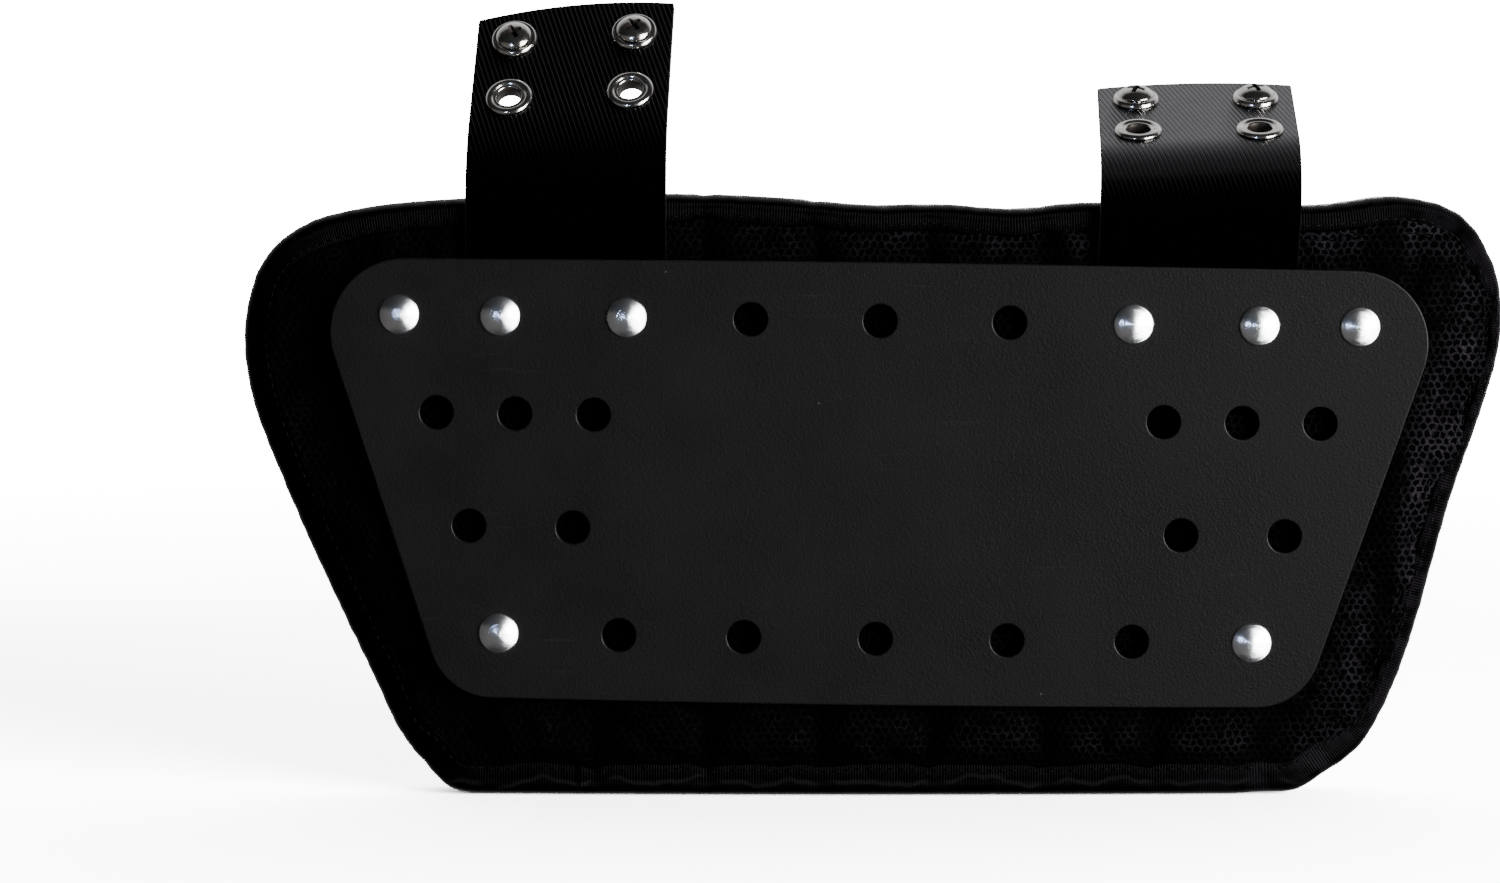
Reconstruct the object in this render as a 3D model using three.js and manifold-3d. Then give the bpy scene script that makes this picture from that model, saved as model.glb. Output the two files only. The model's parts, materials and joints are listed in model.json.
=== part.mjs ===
// A back plate for football shoulder pads, in millimetres, standing on the bottom edge of its pad.
// A stiff moulded plate is riveted to a quilted foam pad. Two plastic straps come out from behind
// the plate's top edge and bend back, each with eyelets and screws for the shoulder pads.
// The front faces -Y, the wearer is on +Y, and Z is up.
import * as THREE from "three";
import { mergeVertices } from "three/addons/utils/BufferGeometryUtils.js";
import Module from "manifold-3d";

const wasm = await Module();
wasm.setup();

// Clearance between pieces that touch, and the bow of the whole back plate round the wearer.
const GAP = 0.3;
const BOW_RADIUS = 2700;

// Foam pad. Its depths in front and behind are measured from the plane of its edge seam.
const PAD_WIDTH = 380;
const PAD_HEIGHT = 182;
const PAD_FRONT = 11.3;
const PAD_BACK = 22;
const RIM_FRONT = 6;
const RIM_BACK = 13.5;
const RIM_CHAMFER = 1.2;
const CROWN_WIDTH = 15;
const CHANNEL_PITCH = 34;
const CHANNEL_COUNT = 6;
const CHANNEL_DEPTH = 3;
const HUB_SHARE = 0.52;

// Tape round the pad's edge.
const TAPE_WIDTH = 10;
const TAPE_THICKNESS = 1.2;
const TAPE_PUCKER = 1.5;

// Moulded plate: a rounded trapezoid whose widths are taken at its sharp corners.
const PLATE_TOP_WIDTH = 348;
const PLATE_BOTTOM_WIDTH = 259;
const PLATE_HEIGHT = 131.5;
const PLATE_THICKNESS = 3;
const PLATE_BULGE = 1;
const PLATE_TOP_RADIUS = 22;
const PLATE_BOTTOM_RADIUS = 19;
const PLATE_BELOW_PAD_TOP = 20.4;
const PLATE_SHIFT = 1.5;
const PLATE_TURN = 0.75;
const VENT_DIAMETER = 10;

// Domed rivets.
const RIVET_HEAD = 12.3;
const RIVET_RISE = 2.6;
const RIVET_SHANK = 5;
const RIVET_BITE = 3;

// Straps.
const STRAP_WIDTH = 60.5;
const STRAP_THICKNESS = 2;
const STRAP_OFFSET = 95;
const STRAP_TUCK = 15;
const STRAP_RISE = 11.5;
const STRAP_END_ARC = 3;
const STRAP_RIVET_SPACING = 38;

// Metal fittings on the strap ends.
const FITTING_SPACING = 37;
const FITTING_FROM_END = 10.5;
const FITTING_ROWS = 23.8;
const EYELET_DIAMETER = 14.4;
const EYELET_RISE = 1.5;
const EYELET_BORE = 7;
const EYELET_WALL = 0.9;
const EYELET_BACK_DIAMETER = 13;
const EYELET_BACK = 0.8;
const WASHER_DIAMETER = 14.4;
const WASHER_RISE = 2;
const SCREW_HEAD = 10.6;
const SCREW_HEAD_RISE = 2.4;
const SCREW_SHANK = 4.8;
const SCREW_RECESS = 6;
const SCREW_RECESS_WIDTH = 1.2;
const SCREW_RECESS_DEPTH = 1.5;
const TEE_NUT_DIAMETER = 13;
const TEE_NUT_FLANGE = 1.2;
const TEE_NUT_WALL = 0.9;

// Smoothness of round forms.
const ROUND_SIDES = 12;
const VENT_SIDES = 14;
const SHANK_SIDES = 10;
const CORNER_STEPS = 6;
const BEND_STEPS = 5;
const STRAP_COLUMNS = 6;
const COLUMNS_PER_CHANNEL = 4;
const END_STEPS = 20;
const OUTLINE_SAMPLES = 900;

// The pad's outline from the left end of its flat foot, anticlockwise from the front,
// as shares of the pad's width (from its middle) and height (from the floor).
const PAD_OUTLINE = [
  { across: -0.233, up: 0 },
  { across: 0.259, up: 0 },
  { across: 0.313, up: 0.009 },
  { across: 0.34, up: 0.016 },
  { across: 0.36, up: 0.045 },
  { across: 0.388, up: 0.093 },
  { across: 0.417, up: 0.203 },
  { across: 0.461, up: 0.503 },
  { across: 0.482, up: 0.627 },
  { across: 0.498, up: 0.744 },
  { across: 0.5, up: 0.827 },
  { across: 0.49, up: 0.902 },
  { across: 0.467, up: 0.965 },
  { across: 0.423, up: 0.992 },
  { across: 0.359, up: 0.98 },
  { across: 0.263, up: 0.984 },
  { across: 0.16, up: 0.985 },
  { across: 0.111, up: 0.976 },
  { across: 0.051, up: 0.984 },
  { across: -0.001, up: 0.982 },
  { across: -0.065, up: 0.993 },
  { across: -0.137, up: 1 },
  { across: -0.249, up: 0.998 },
  { across: -0.334, up: 0.992 },
  { across: -0.406, up: 0.977 },
  { across: -0.454, up: 0.948 },
  { across: -0.485, up: 0.889 },
  { across: -0.499, up: 0.79 },
  { across: -0.495, up: 0.677 },
  { across: -0.469, up: 0.528 },
  { across: -0.396, up: 0.203 },
  { across: -0.373, up: 0.103 },
  { across: -0.356, up: 0.06 },
  { across: -0.336, up: 0.018 },
  { across: -0.3, up: 0.006 },
];

// Rows of vents and corner rivets, the same on both sides of the plate's middle, as shares of
// the plate's height (from its middle) and of its top width.
const PLATE_ROWS = [
  { name: "top", up: 0.374, vents: [0, 0.1115], rivets: [0.415] },
  { name: "upper", up: 0.151, vents: [0.246, 0.314, 0.382], rivets: [] },
  { name: "lower", up: -0.108, vents: [0.263, 0.353], rivets: [] },
  { name: "bottom", up: -0.354, vents: [0, 0.114, 0.222], rivets: [0.3265] },
];

// The two straps, whose lengths are shares of their width. Lean turns a strap in the plate's
// plane, and axis_turn tilts its bend line.
const STRAP_TABLE = [
  {
    side: "left",
    sign: -1,
    shift: 0.0132,
    radius: 0.8264,
    bend: 41,
    reach: 0.6942,
    lean: -1.2,
    axis_turn: 4,
    end_slant: 0.0826,
  },
  {
    side: "right",
    sign: 1,
    shift: -0.0083,
    radius: 0.4959,
    bend: 66,
    reach: 0.6777,
    lean: 2.6,
    axis_turn: 6,
    end_slant: 0.0331,
  },
];

// Rounded profiles, as shares of the head's radius and of its rise.
const RIVET_DOME = [
  { out: 0, rise: 1 },
  { out: 0.4, rise: 0.9 },
  { out: 0.78, rise: 0.55 },
];
const SCREW_DOME = [
  { out: 0, rise: 1 },
  { out: 0.5, rise: 0.88 },
  { out: 0.85, rise: 0.5 },
];
// Shares of the width from the bore to the rim, and of the rise.
const EYELET_ROLL = [
  { out: 0.45, rise: 1 },
  { out: 0.8, rise: 0.9 },
];
// A cup washer's seat under the screw's head, and its shoulder outside the head.
const WASHER_SEAT = 0.35;
const WASHER_SHOULDER = { out: 0.88, rise: 0.75 };
// Rings of the pad's crown between its seam and its full depth.
const CROWN_RINGS = [0, 0.2, 0.5, 1];

const COLOURS = {
  pad: 0x0b0b0c,
  tape: 0x121214,
  plate: 0x26262a,
  strap: 0x111113,
  aluminium: 0xc9ccd0,
  nickel: 0xd8d6cf,
};

// What follows from the sizes above.
const STRAPS = STRAP_TABLE.map((row) => ({
  ...row,
  shift: row.shift * STRAP_WIDTH,
  radius: row.radius * STRAP_WIDTH,
  reach: row.reach * STRAP_WIDTH,
  end_slant: row.end_slant * STRAP_WIDTH,
}));
const PLATE_BACK_Y = -(PAD_FRONT + GAP);
const PLATE_CENTRE_Z = PAD_HEIGHT - PLATE_BELOW_PAD_TOP - PLATE_HEIGHT / 2;
const STRAP_SEAT = GAP + bowDepth(STRAP_WIDTH / 2);
const STRAP_BED = STRAP_SEAT + STRAP_THICKNESS;
const RIVET_ROW_Z = PLATE_ROWS[0].up * PLATE_HEIGHT;
const BEND_LINE = STRAP_TUCK + PLATE_HEIGHT / 2 - RIVET_ROW_Z + STRAP_RISE;
const HALF_QUILT = (CHANNEL_COUNT * CHANNEL_PITCH) / 2;
const COLUMN_STEP = CHANNEL_PITCH / COLUMNS_PER_CHANNEL;
const COLUMN_COUNT = CHANNEL_COUNT * COLUMNS_PER_CHANNEL + 1;

// How far the bow carries a point back, and how far it turns a piece there.
function bowDepth(x) {
  return (x * x) / (2 * BOW_RADIUS);
}

function bowTurn(x) {
  return Math.atan(x / BOW_RADIUS);
}

function finish(colour, roughness, metalness) {
  return new THREE.MeshStandardMaterial({ color: colour, roughness, metalness });
}

const MATERIALS = {
  pad: finish(COLOURS.pad, 0.95, 0),
  tape: finish(COLOURS.tape, 0.6, 0),
  plate: finish(COLOURS.plate, 0.6, 0),
  strap: finish(COLOURS.strap, 0.45, 0),
  aluminium: finish(COLOURS.aluminium, 0.35, 1),
  nickel: finish(COLOURS.nickel, 0.15, 1),
};

function namedMesh(name, geometry, material) {
  const mesh = new THREE.Mesh(geometry, material);
  mesh.name = name;
  return mesh;
}

// A geometry from corner positions and triangles, leaving out triangles that have collapsed.
function indexedGeometry(positions, triangles) {
  const geometry = new THREE.BufferGeometry();
  geometry.setAttribute("position", new THREE.Float32BufferAttribute(positions, 3));
  const kept = triangles.filter(([a, b, c]) => a !== b && b !== c && c !== a);
  geometry.setIndex(kept.flat());
  return geometry;
}

// The same surface with shared corners merged, as a closed body needs.
function welded(geometry) {
  const bare = geometry.clone();
  bare.deleteAttribute("normal");
  bare.deleteAttribute("uv");
  const merged = mergeVertices(bare);
  const index = Array.from(merged.index.array);
  const triangles = [];
  for (let i = 0; i < index.length; i += 3) {
    triangles.push(index.slice(i, i + 3));
  }
  return indexedGeometry(Array.from(merged.attributes.position.array), triangles);
}

function toSolid(geometry) {
  const body = welded(geometry);
  const mesh = new wasm.Mesh({
    numProp: 3,
    vertProperties: new Float32Array(body.attributes.position.array),
    triVerts: new Uint32Array(body.index.array),
  });
  return new wasm.Manifold(mesh);
}

function fromSolid(solid) {
  const mesh = solid.getMesh();
  const geometry = new THREE.BufferGeometry();
  geometry.setAttribute("position", new THREE.BufferAttribute(new Float32Array(mesh.vertProperties), 3));
  geometry.setIndex(new THREE.BufferAttribute(new Uint32Array(mesh.triVerts), 1));
  return geometry;
}

function cutAway(geometry, tools) {
  let solid = toSolid(geometry);
  for (const tool of tools) {
    solid = solid.subtract(toSolid(tool));
  }
  return fromSolid(solid);
}

// A round body about the local Y axis, from its profile of radius and depth.
function turned(profile, sides) {
  const points = profile.map(([radius, depth]) => new THREE.Vector2(radius, depth));
  return welded(new THREE.LatheGeometry(points, sides));
}

// A round cutter along the local Y axis from one depth to another, placed by a matrix.
function drill(diameter, from, to, sides, place) {
  const cylinder = new THREE.CylinderGeometry(diameter / 2, diameter / 2, to - from, sides);
  cylinder.translate(0, (from + to) / 2, 0);
  return cylinder.applyMatrix4(place);
}

// Where a fitting stands on a bowed face: x across, z up, at a depth before the bow.
function onBow(x, depth, z) {
  const place = new THREE.Matrix4().makeRotationZ(bowTurn(x));
  return place.setPosition(x, depth + bowDepth(x), z);
}

// Pad outline: a closed smooth curve, flat where it stands.
function outlinePoints() {
  const corners = PAD_OUTLINE.map(
    ({ across, up }) => new THREE.Vector3(across * PAD_WIDTH, 0, up * PAD_HEIGHT),
  );
  const curve = new THREE.CatmullRomCurve3(corners, true, "centripetal");
  return curve.getPoints(OUTLINE_SAMPLES).map((p) => new THREE.Vector2(p.x, Math.max(p.z, 0)));
}

// The place on the outline above or below a column, with its index there.
function crossing(outline, x, onTop) {
  for (let i = 0; i + 1 < outline.length; i += 1) {
    const [a, b] = [outline[i], outline[i + 1]];
    const upper = a.y > PAD_HEIGHT / 2;
    if (upper === onTop && (a.x - x) * (b.x - x) <= 0 && a.x !== b.x) {
      return { index: i, point: a.clone().lerp(b, (x - a.x) / (b.x - a.x)) };
    }
  }
  throw new Error(`the outline doesn't reach the column at ${x}`);
}

// Evenly spaced points between two crossings, going round one end of the pad.
function roundTheEnd(outline, start, end) {
  const stretch = [start.point];
  const last = end.index > start.index ? end.index : end.index + outline.length - 1;
  for (let i = start.index + 1; i <= last; i += 1) {
    stretch.push(outline[i % (outline.length - 1)]);
  }
  stretch.push(end.point);
  const lengths = [0];
  for (let i = 1; i < stretch.length; i += 1) {
    lengths.push(lengths[i - 1] + stretch[i].distanceTo(stretch[i - 1]));
  }
  const points = [];
  for (let step = 1; step < END_STEPS; step += 1) {
    const target = (step / END_STEPS) * lengths.at(-1);
    const i = lengths.findIndex((length) => length >= target);
    const share = (target - lengths[i - 1]) / (lengths[i] - lengths[i - 1]);
    points.push(stretch[i - 1].clone().lerp(stretch[i], share));
  }
  return points;
}

// Stations round the rim, anticlockwise from the front. Each looks along a spoke to its hub on
// the pad's middle line: columns look straight up or down, and the ends fan out from the last hub.
function rimStations() {
  const outline = outlinePoints();
  const hubZ = HUB_SHARE * PAD_HEIGHT;
  const columns = [];
  for (let i = 0; i < COLUMN_COUNT; i += 1) {
    columns.push(-HALF_QUILT + i * COLUMN_STEP);
  }
  const bottom = columns.map((x) => crossing(outline, x, false));
  const top = columns.map((x) => crossing(outline, x, true));
  const stations = [
    ...bottom.map(({ point }, hub) => ({ point, hub })),
    ...roundTheEnd(outline, bottom.at(-1), top.at(-1)).map((point) => ({ point, hub: COLUMN_COUNT - 1 })),
    ...top.map(({ point }, hub) => ({ point, hub })).reverse(),
    ...roundTheEnd(outline, top[0], bottom[0]).map((point) => ({ point, hub: 0 })),
  ];
  const count = stations.length;
  return stations.map(({ point, hub }, i) => {
    const before = stations[(i + count - 1) % count].point;
    const after = stations[(i + 1) % count].point;
    const inward = new THREE.Vector2(before.y - after.y, after.x - before.x).normalize();
    const hubPoint = new THREE.Vector2(columns[hub], hubZ);
    const spoke = hubPoint.clone().sub(point);
    const length = spoke.length();
    spoke.normalize();
    return { point, hub, hubPoint, spoke, length, slant: 1 / spoke.dot(inward) };
  });
}

// The point that lies a distance inside the rim at a station.
function inside(station, distance) {
  return station.point.clone().addScaledVector(station.spoke, distance * station.slant);
}

function smoothstep(low, high, value) {
  return THREE.MathUtils.smoothstep(value, low, high);
}

// 1 in a sewn channel, falling to 0 at the middle of the puff beside it.
function channelShare(x) {
  return Math.abs(x) < HALF_QUILT ? 1 - Math.abs(Math.cos((Math.PI * x) / CHANNEL_PITCH)) : 0;
}

// How much of its bed a strap needs at a point of the pad's front, from 0 to 1.
function strapBedShare(x, z) {
  const upper = smoothstep(HUB_SHARE * PAD_HEIGHT, PLATE_CENTRE_Z + RIVET_ROW_Z - 2 * STRAP_TUCK, z);
  const edge = STRAP_WIDTH / 2 + 1.5 * COLUMN_STEP;
  const beds = STRAPS.map(({ sign }) => {
    const off = Math.abs(x - PLATE_SHIFT - sign * STRAP_OFFSET);
    return 1 - smoothstep(edge, edge + COLUMN_STEP, off);
  });
  return upper * Math.max(...beds);
}

// The rim's depth on its front or back face.
function rimDepth(face) {
  return face < 0 ? RIM_FRONT : RIM_BACK;
}

// The pad's front or back surface over a point that lies a distance inside the rim.
function padDepth(point, distance, face) {
  const rise = THREE.MathUtils.clamp((distance - TAPE_WIDTH - GAP) / CROWN_WIDTH, 0, 1);
  const crown = Math.sqrt(1 - (1 - rise) ** 2);
  const crest = face < 0 ? PAD_FRONT : PAD_BACK;
  const hollow = CHANNEL_DEPTH * channelShare(point.x);
  const bed = face < 0 ? STRAP_BED * strapBedShare(point.x, point.y) : 0;
  const height = crest - rimDepth(face) - Math.max(hollow, bed);
  return face * (rimDepth(face) + crown * height) + bowDepth(point.x);
}

// Quilted foam body: rings of corners run inward from the rim to the hubs on both faces.
function padGeometry(stations) {
  const edge = TAPE_THICKNESS + GAP;
  const seam = TAPE_WIDTH + GAP;
  const rings = [edge + RIM_CHAMFER, ...CROWN_RINGS.map((share) => seam + share * CROWN_WIDTH)];
  const positions = [];
  const rows = [];
  const addRow = (corners) => {
    const first = positions.length / 3;
    corners.forEach(({ point, depth }) => positions.push(point.x, depth, point.y));
    rows.push(corners.map((_, i) => first + i));
  };
  const faceRows = (face) => {
    const wall = face * (rimDepth(face) - RIM_CHAMFER);
    const list = [
      stations.map((s) => {
        const point = inside(s, edge);
        return { point, depth: wall + bowDepth(point.x) };
      }),
      ...rings.map((distance) =>
        stations.map((s) => {
          const point = inside(s, distance);
          return { point, depth: padDepth(point, distance, face) };
        }),
      ),
      stations.map((s) => {
        const point = inside(s, rings.at(-1)).lerp(s.hubPoint, 0.5);
        return { point, depth: padDepth(point, Infinity, face) };
      }),
    ];
    return face < 0 ? list.reverse() : list;
  };
  const hubRow = (face) => {
    const first = positions.length / 3;
    const hubs = stations.slice(0, COLUMN_COUNT).map((s) => s.hubPoint);
    hubs.forEach((point) => positions.push(point.x, padDepth(point, Infinity, face), point.y));
    rows.push(stations.map((s) => first + s.hub));
  };
  hubRow(-1);
  faceRows(-1).forEach(addRow);
  faceRows(1).forEach(addRow);
  hubRow(1);
  return indexedGeometry(positions, bandTriangles(rows));
}

// Triangles between neighbouring closed rows of corners.
function bandTriangles(rows) {
  const triangles = [];
  for (let r = 0; r + 1 < rows.length; r += 1) {
    const [near, far] = [rows[r], rows[r + 1]];
    for (let i = 0; i < near.length; i += 1) {
      const next = (i + 1) % near.length;
      triangles.push([near[i], far[i], far[next]], [near[i], far[next], near[next]]);
    }
  }
  return triangles;
}

// Edge tape: one folded section carried round the rim, drawn narrower at each channel.
function tapeGeometry(stations) {
  const [frontInner, backInner] = [-(RIM_FRONT + GAP), RIM_BACK + GAP];
  const [front, back] = [frontInner - TAPE_THICKNESS, backInner + TAPE_THICKNESS];
  const section = [
    { distance: TAPE_WIDTH, depth: front, lip: true },
    { distance: RIM_CHAMFER, depth: front },
    { distance: 0, depth: front + RIM_CHAMFER },
    { distance: 0, depth: back - RIM_CHAMFER },
    { distance: RIM_CHAMFER, depth: back },
    { distance: TAPE_WIDTH, depth: back, lip: true },
    { distance: TAPE_WIDTH, depth: backInner, lip: true },
    { distance: TAPE_THICKNESS, depth: backInner },
    { distance: TAPE_THICKNESS, depth: frontInner },
    { distance: TAPE_WIDTH, depth: frontInner, lip: true },
  ];
  const positions = [];
  const rows = section.map(({ distance, depth, lip }, r) =>
    stations.map((s, i) => {
      const pucker = lip ? TAPE_PUCKER * channelShare(s.point.x) : 0;
      const point = inside(s, distance - pucker);
      positions.push(point.x, depth + bowDepth(point.x), point.y);
      return r * stations.length + i;
    }),
  );
  return indexedGeometry(positions, bandTriangles([...rows, rows[0]]));
}

// The corners of a polygon rounded by arcs, listed in order.
function roundedPolygon(corners) {
  return corners.flatMap(({ at, radius }, i) => {
    const before = corners[(i + corners.length - 1) % corners.length].at.clone().sub(at).normalize();
    const after = corners[(i + 1) % corners.length].at.clone().sub(at).normalize();
    const half = Math.acos(before.dot(after)) / 2;
    const middle = before.clone().add(after).normalize();
    const centre = at.clone().addScaledVector(middle, radius / Math.sin(half));
    const sweep = Math.PI - 2 * half;
    const start = Math.atan2(-middle.y, -middle.x) - sweep / 2;
    const points = [];
    for (let step = 0; step <= CORNER_STEPS; step += 1) {
      const angle = start + (sweep * step) / CORNER_STEPS;
      const arm = new THREE.Vector2(radius * Math.cos(angle), radius * Math.sin(angle));
      points.push(arm.add(centre));
    }
    return points;
  });
}

// The height of a closed outline over x on its upper or lower side.
function heightOver(outline, x, upper) {
  const heights = [];
  outline.forEach((a, i) => {
    const b = outline[(i + 1) % outline.length];
    if ((a.x - x) * (b.x - x) <= 0 && a.x !== b.x) {
      heights.push(a.y + ((x - a.x) / (b.x - a.x)) * (b.y - a.y));
    }
  });
  return upper ? Math.max(...heights) : Math.min(...heights);
}

// Plate before drilling: columns across its outline, each carried back by the bow.
function plateBlank() {
  const top = PLATE_HEIGHT / 2;
  const outline = roundedPolygon([
    { at: new THREE.Vector2(-PLATE_BOTTOM_WIDTH / 2, -top), radius: PLATE_BOTTOM_RADIUS },
    { at: new THREE.Vector2(PLATE_BOTTOM_WIDTH / 2, -top), radius: PLATE_BOTTOM_RADIUS },
    { at: new THREE.Vector2(PLATE_TOP_WIDTH / 2, top), radius: PLATE_TOP_RADIUS },
    { at: new THREE.Vector2(-PLATE_TOP_WIDTH / 2, top), radius: PLATE_TOP_RADIUS },
  ]);
  const reach = Math.max(...outline.map((p) => p.x));
  const flat = PLATE_BOTTOM_WIDTH / 2 - 2 * PLATE_BOTTOM_RADIUS;
  const across = new Set(outline.map((p) => Number(p.x.toFixed(3))));
  for (let step = -4; step <= 4; step += 1) {
    across.add((step / 4) * flat);
  }
  const columns = [...across].filter((x) => Math.abs(x) < reach - 0.01).sort((a, b) => a - b);
  columns.unshift(-reach);
  columns.push(reach);
  const positions = [];
  const corner = (x, z, depth) => {
    positions.push(x, depth + bowDepth(x), z);
    return positions.length / 3 - 1;
  };
  const tip = outline.find((p) => p.x === reach).y;
  const bars = columns.map((x, i) => {
    const bulge = PLATE_BULGE * (1 - (x / reach) ** 2);
    const atTip = i === 0 || i === columns.length - 1;
    const high = atTip ? tip : heightOver(outline, x, true) + bulge;
    const low = atTip ? tip : heightOver(outline, x, false) - bulge;
    const bar = {};
    for (const [face, depth] of [["front", 0], ["back", PLATE_THICKNESS]]) {
      const upper = corner(x, high, depth);
      bar[face] = { upper, lower: atTip ? upper : corner(x, low, depth) };
    }
    return bar;
  });
  const triangles = [];
  const quad = (a, b, c, d) => triangles.push([a, b, c], [a, c, d]);
  for (let i = 0; i + 1 < bars.length; i += 1) {
    const [a, b] = [bars[i], bars[i + 1]];
    quad(a.front.lower, b.front.lower, b.front.upper, a.front.upper);
    quad(b.back.lower, a.back.lower, a.back.upper, b.back.upper);
    quad(a.front.upper, b.front.upper, b.back.upper, a.back.upper);
    quad(b.front.lower, a.front.lower, a.back.lower, b.back.lower);
  }
  return indexedGeometry(positions, triangles);
}

// The places of the vents, mirrored about the plate's middle.
function ventPlaces() {
  return PLATE_ROWS.flatMap(({ up, vents }) =>
    vents.flatMap((share) =>
      (share === 0 ? [0] : [-share, share]).map((side) => ({
        x: side * PLATE_TOP_WIDTH,
        z: up * PLATE_HEIGHT,
      })),
    ),
  );
}

// The places of the rivets: two through each strap, and the corner ones through the plate alone.
function rivetPlaces() {
  const corners = PLATE_ROWS.flatMap(({ name, up, rivets }) =>
    rivets.flatMap((share) =>
      [-1, 1].map((sign) => ({
        name: `rivet_${name}_${sign < 0 ? "left" : "right"}`,
        x: sign * share * PLATE_TOP_WIDTH,
        z: up * PLATE_HEIGHT,
        throughStrap: false,
      })),
    ),
  );
  const held = STRAPS.flatMap(({ side, sign }) =>
    [-1, 1].map((end) => ({
      name: `rivet_strap_${side}_${end < 0 ? "a" : "b"}`,
      x: sign * STRAP_OFFSET + (end * STRAP_RIVET_SPACING) / 2,
      z: RIVET_ROW_Z,
      throughStrap: true,
    })),
  );
  return [...corners, ...held];
}

function rivetEnd({ throughStrap }) {
  return PLATE_THICKNESS + (throughStrap ? STRAP_BED : 0) + GAP + RIVET_BITE;
}

// A domed head with its shank; the head's underside clears the plate's front.
function rivetGeometry(place) {
  const profile = [
    ...RIVET_DOME.map(({ out, rise }) => [(out * RIVET_HEAD) / 2, -rise * RIVET_RISE]),
    [RIVET_HEAD / 2, -GAP],
    [RIVET_SHANK / 2, -GAP],
    [RIVET_SHANK / 2, rivetEnd(place)],
    [0, rivetEnd(place)],
  ];
  return turned(profile, ROUND_SIDES);
}

// A strap's sheet before bending runs up from v = 0, bends back above the bend line, and
// ends in a shallow arc.
function strapEnd(strap, x) {
  const share = x / STRAP_WIDTH;
  const arc = (strap.radius * strap.bend * Math.PI) / 180;
  const cut = STRAP_END_ARC * (1 - 4 * share * share) + strap.end_slant * share;
  return BEND_LINE + arc + strap.reach + cut;
}

// The place of a point of the sheet after bending: x across, v along, depth into the sheet.
function strapPoint(strap, x, v, depth) {
  const turn = THREE.MathUtils.degToRad(strap.axis_turn);
  const bend = THREE.MathUtils.degToRad(strap.bend);
  const along = x * Math.cos(turn) + (v - BEND_LINE) * Math.sin(turn);
  const across = -x * Math.sin(turn) + (v - BEND_LINE) * Math.cos(turn);
  const angle = THREE.MathUtils.clamp(across / strap.radius, 0, bend);
  const before = Math.min(across, 0);
  const after = Math.max(across - strap.radius * bend, 0);
  const inner = strap.radius - depth;
  const rise = before + inner * Math.sin(angle) + after * Math.cos(angle);
  const back = strap.radius - inner * Math.cos(angle) + after * Math.sin(angle);
  return new THREE.Vector3(
    along * Math.cos(turn) - rise * Math.sin(turn),
    back,
    BEND_LINE + along * Math.sin(turn) + rise * Math.cos(turn) - STRAP_TUCK,
  );
}

// The frame of a fitting on the strap: local Y runs into the sheet, and Z along it.
function strapFrame(strap, x, v) {
  const origin = strapPoint(strap, x, v, 0);
  const into = strapPoint(strap, x, v, 1).sub(origin).normalize();
  const across = strapPoint(strap, x + 1, v, 0).sub(origin).normalize();
  const along = new THREE.Vector3().crossVectors(across, into);
  return new THREE.Matrix4().makeBasis(across, into, along).setPosition(origin);
}

function strapBlank(strap) {
  const turn = THREE.MathUtils.degToRad(strap.axis_turn);
  const bend = THREE.MathUtils.degToRad(strap.bend);
  const bends = [];
  for (let step = 0; step <= BEND_STEPS; step += 1) {
    bends.push(((bend * step) / BEND_STEPS) * strap.radius);
  }
  const rowAt = (x) => [
    0,
    ...bends.map((across) => BEND_LINE + (across + x * Math.sin(turn)) / Math.cos(turn)),
    strapEnd(strap, x),
  ];
  const rowCount = bends.length + 2;
  const positions = [];
  const rows = [];
  for (let r = 0; r < rowCount; r += 1) {
    const ring = [];
    for (const depth of [0, STRAP_THICKNESS]) {
      const side = [];
      for (let i = 0; i <= STRAP_COLUMNS; i += 1) {
        const x = (i / STRAP_COLUMNS - 0.5) * STRAP_WIDTH;
        const point = strapPoint(strap, x, rowAt(x)[r], depth);
        side.push(positions.length / 3);
        positions.push(point.x, point.y, point.z);
      }
      ring.push(...(depth === 0 ? side : side.reverse()));
    }
    rows.push(ring);
  }
  const triangles = bandTriangles(rows).map(([a, b, c]) => [a, c, b]);
  triangles.push(...endCap(rows[0], false), ...endCap(rows.at(-1), true));
  return indexedGeometry(positions, triangles);
}

// A strip of triangles across a thin closed row, between its front and back halves.
function endCap(row, facingUp) {
  const triangles = [];
  const last = row.length - 1;
  for (let i = 0; i < STRAP_COLUMNS; i += 1) {
    const [a, b, c, d] = [row[i], row[i + 1], row[last - i - 1], row[last - i]];
    triangles.push(...(facingUp ? [[a, b, c], [a, c, d]] : [[a, c, b], [a, d, c]]));
  }
  return triangles;
}

// The fittings of a strap's end: screws nearest the end, eyelets a row below.
function fittingPlaces(strap) {
  const end = strapEnd(strap, 0) - STRAP_END_ARC;
  return [-1, 1].flatMap((sign) => {
    const x = (sign * FITTING_SPACING) / 2;
    const row = end - FITTING_FROM_END + (strap.end_slant * x) / STRAP_WIDTH / 2;
    const hand = sign < 0 ? "a" : "b";
    return [
      { kind: "screw", name: `${strap.side}_${hand}`, x, v: row },
      { kind: "eyelet", name: `${strap.side}_${hand}`, x, v: row - FITTING_ROWS },
    ];
  });
}

// The diameter of a fitting's barrel where it goes through the strap.
function barrelDiameter(kind) {
  return kind === "eyelet" ? EYELET_BORE + 2 * EYELET_WALL : SCREW_SHANK + 2 * (GAP + TEE_NUT_WALL);
}

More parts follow.
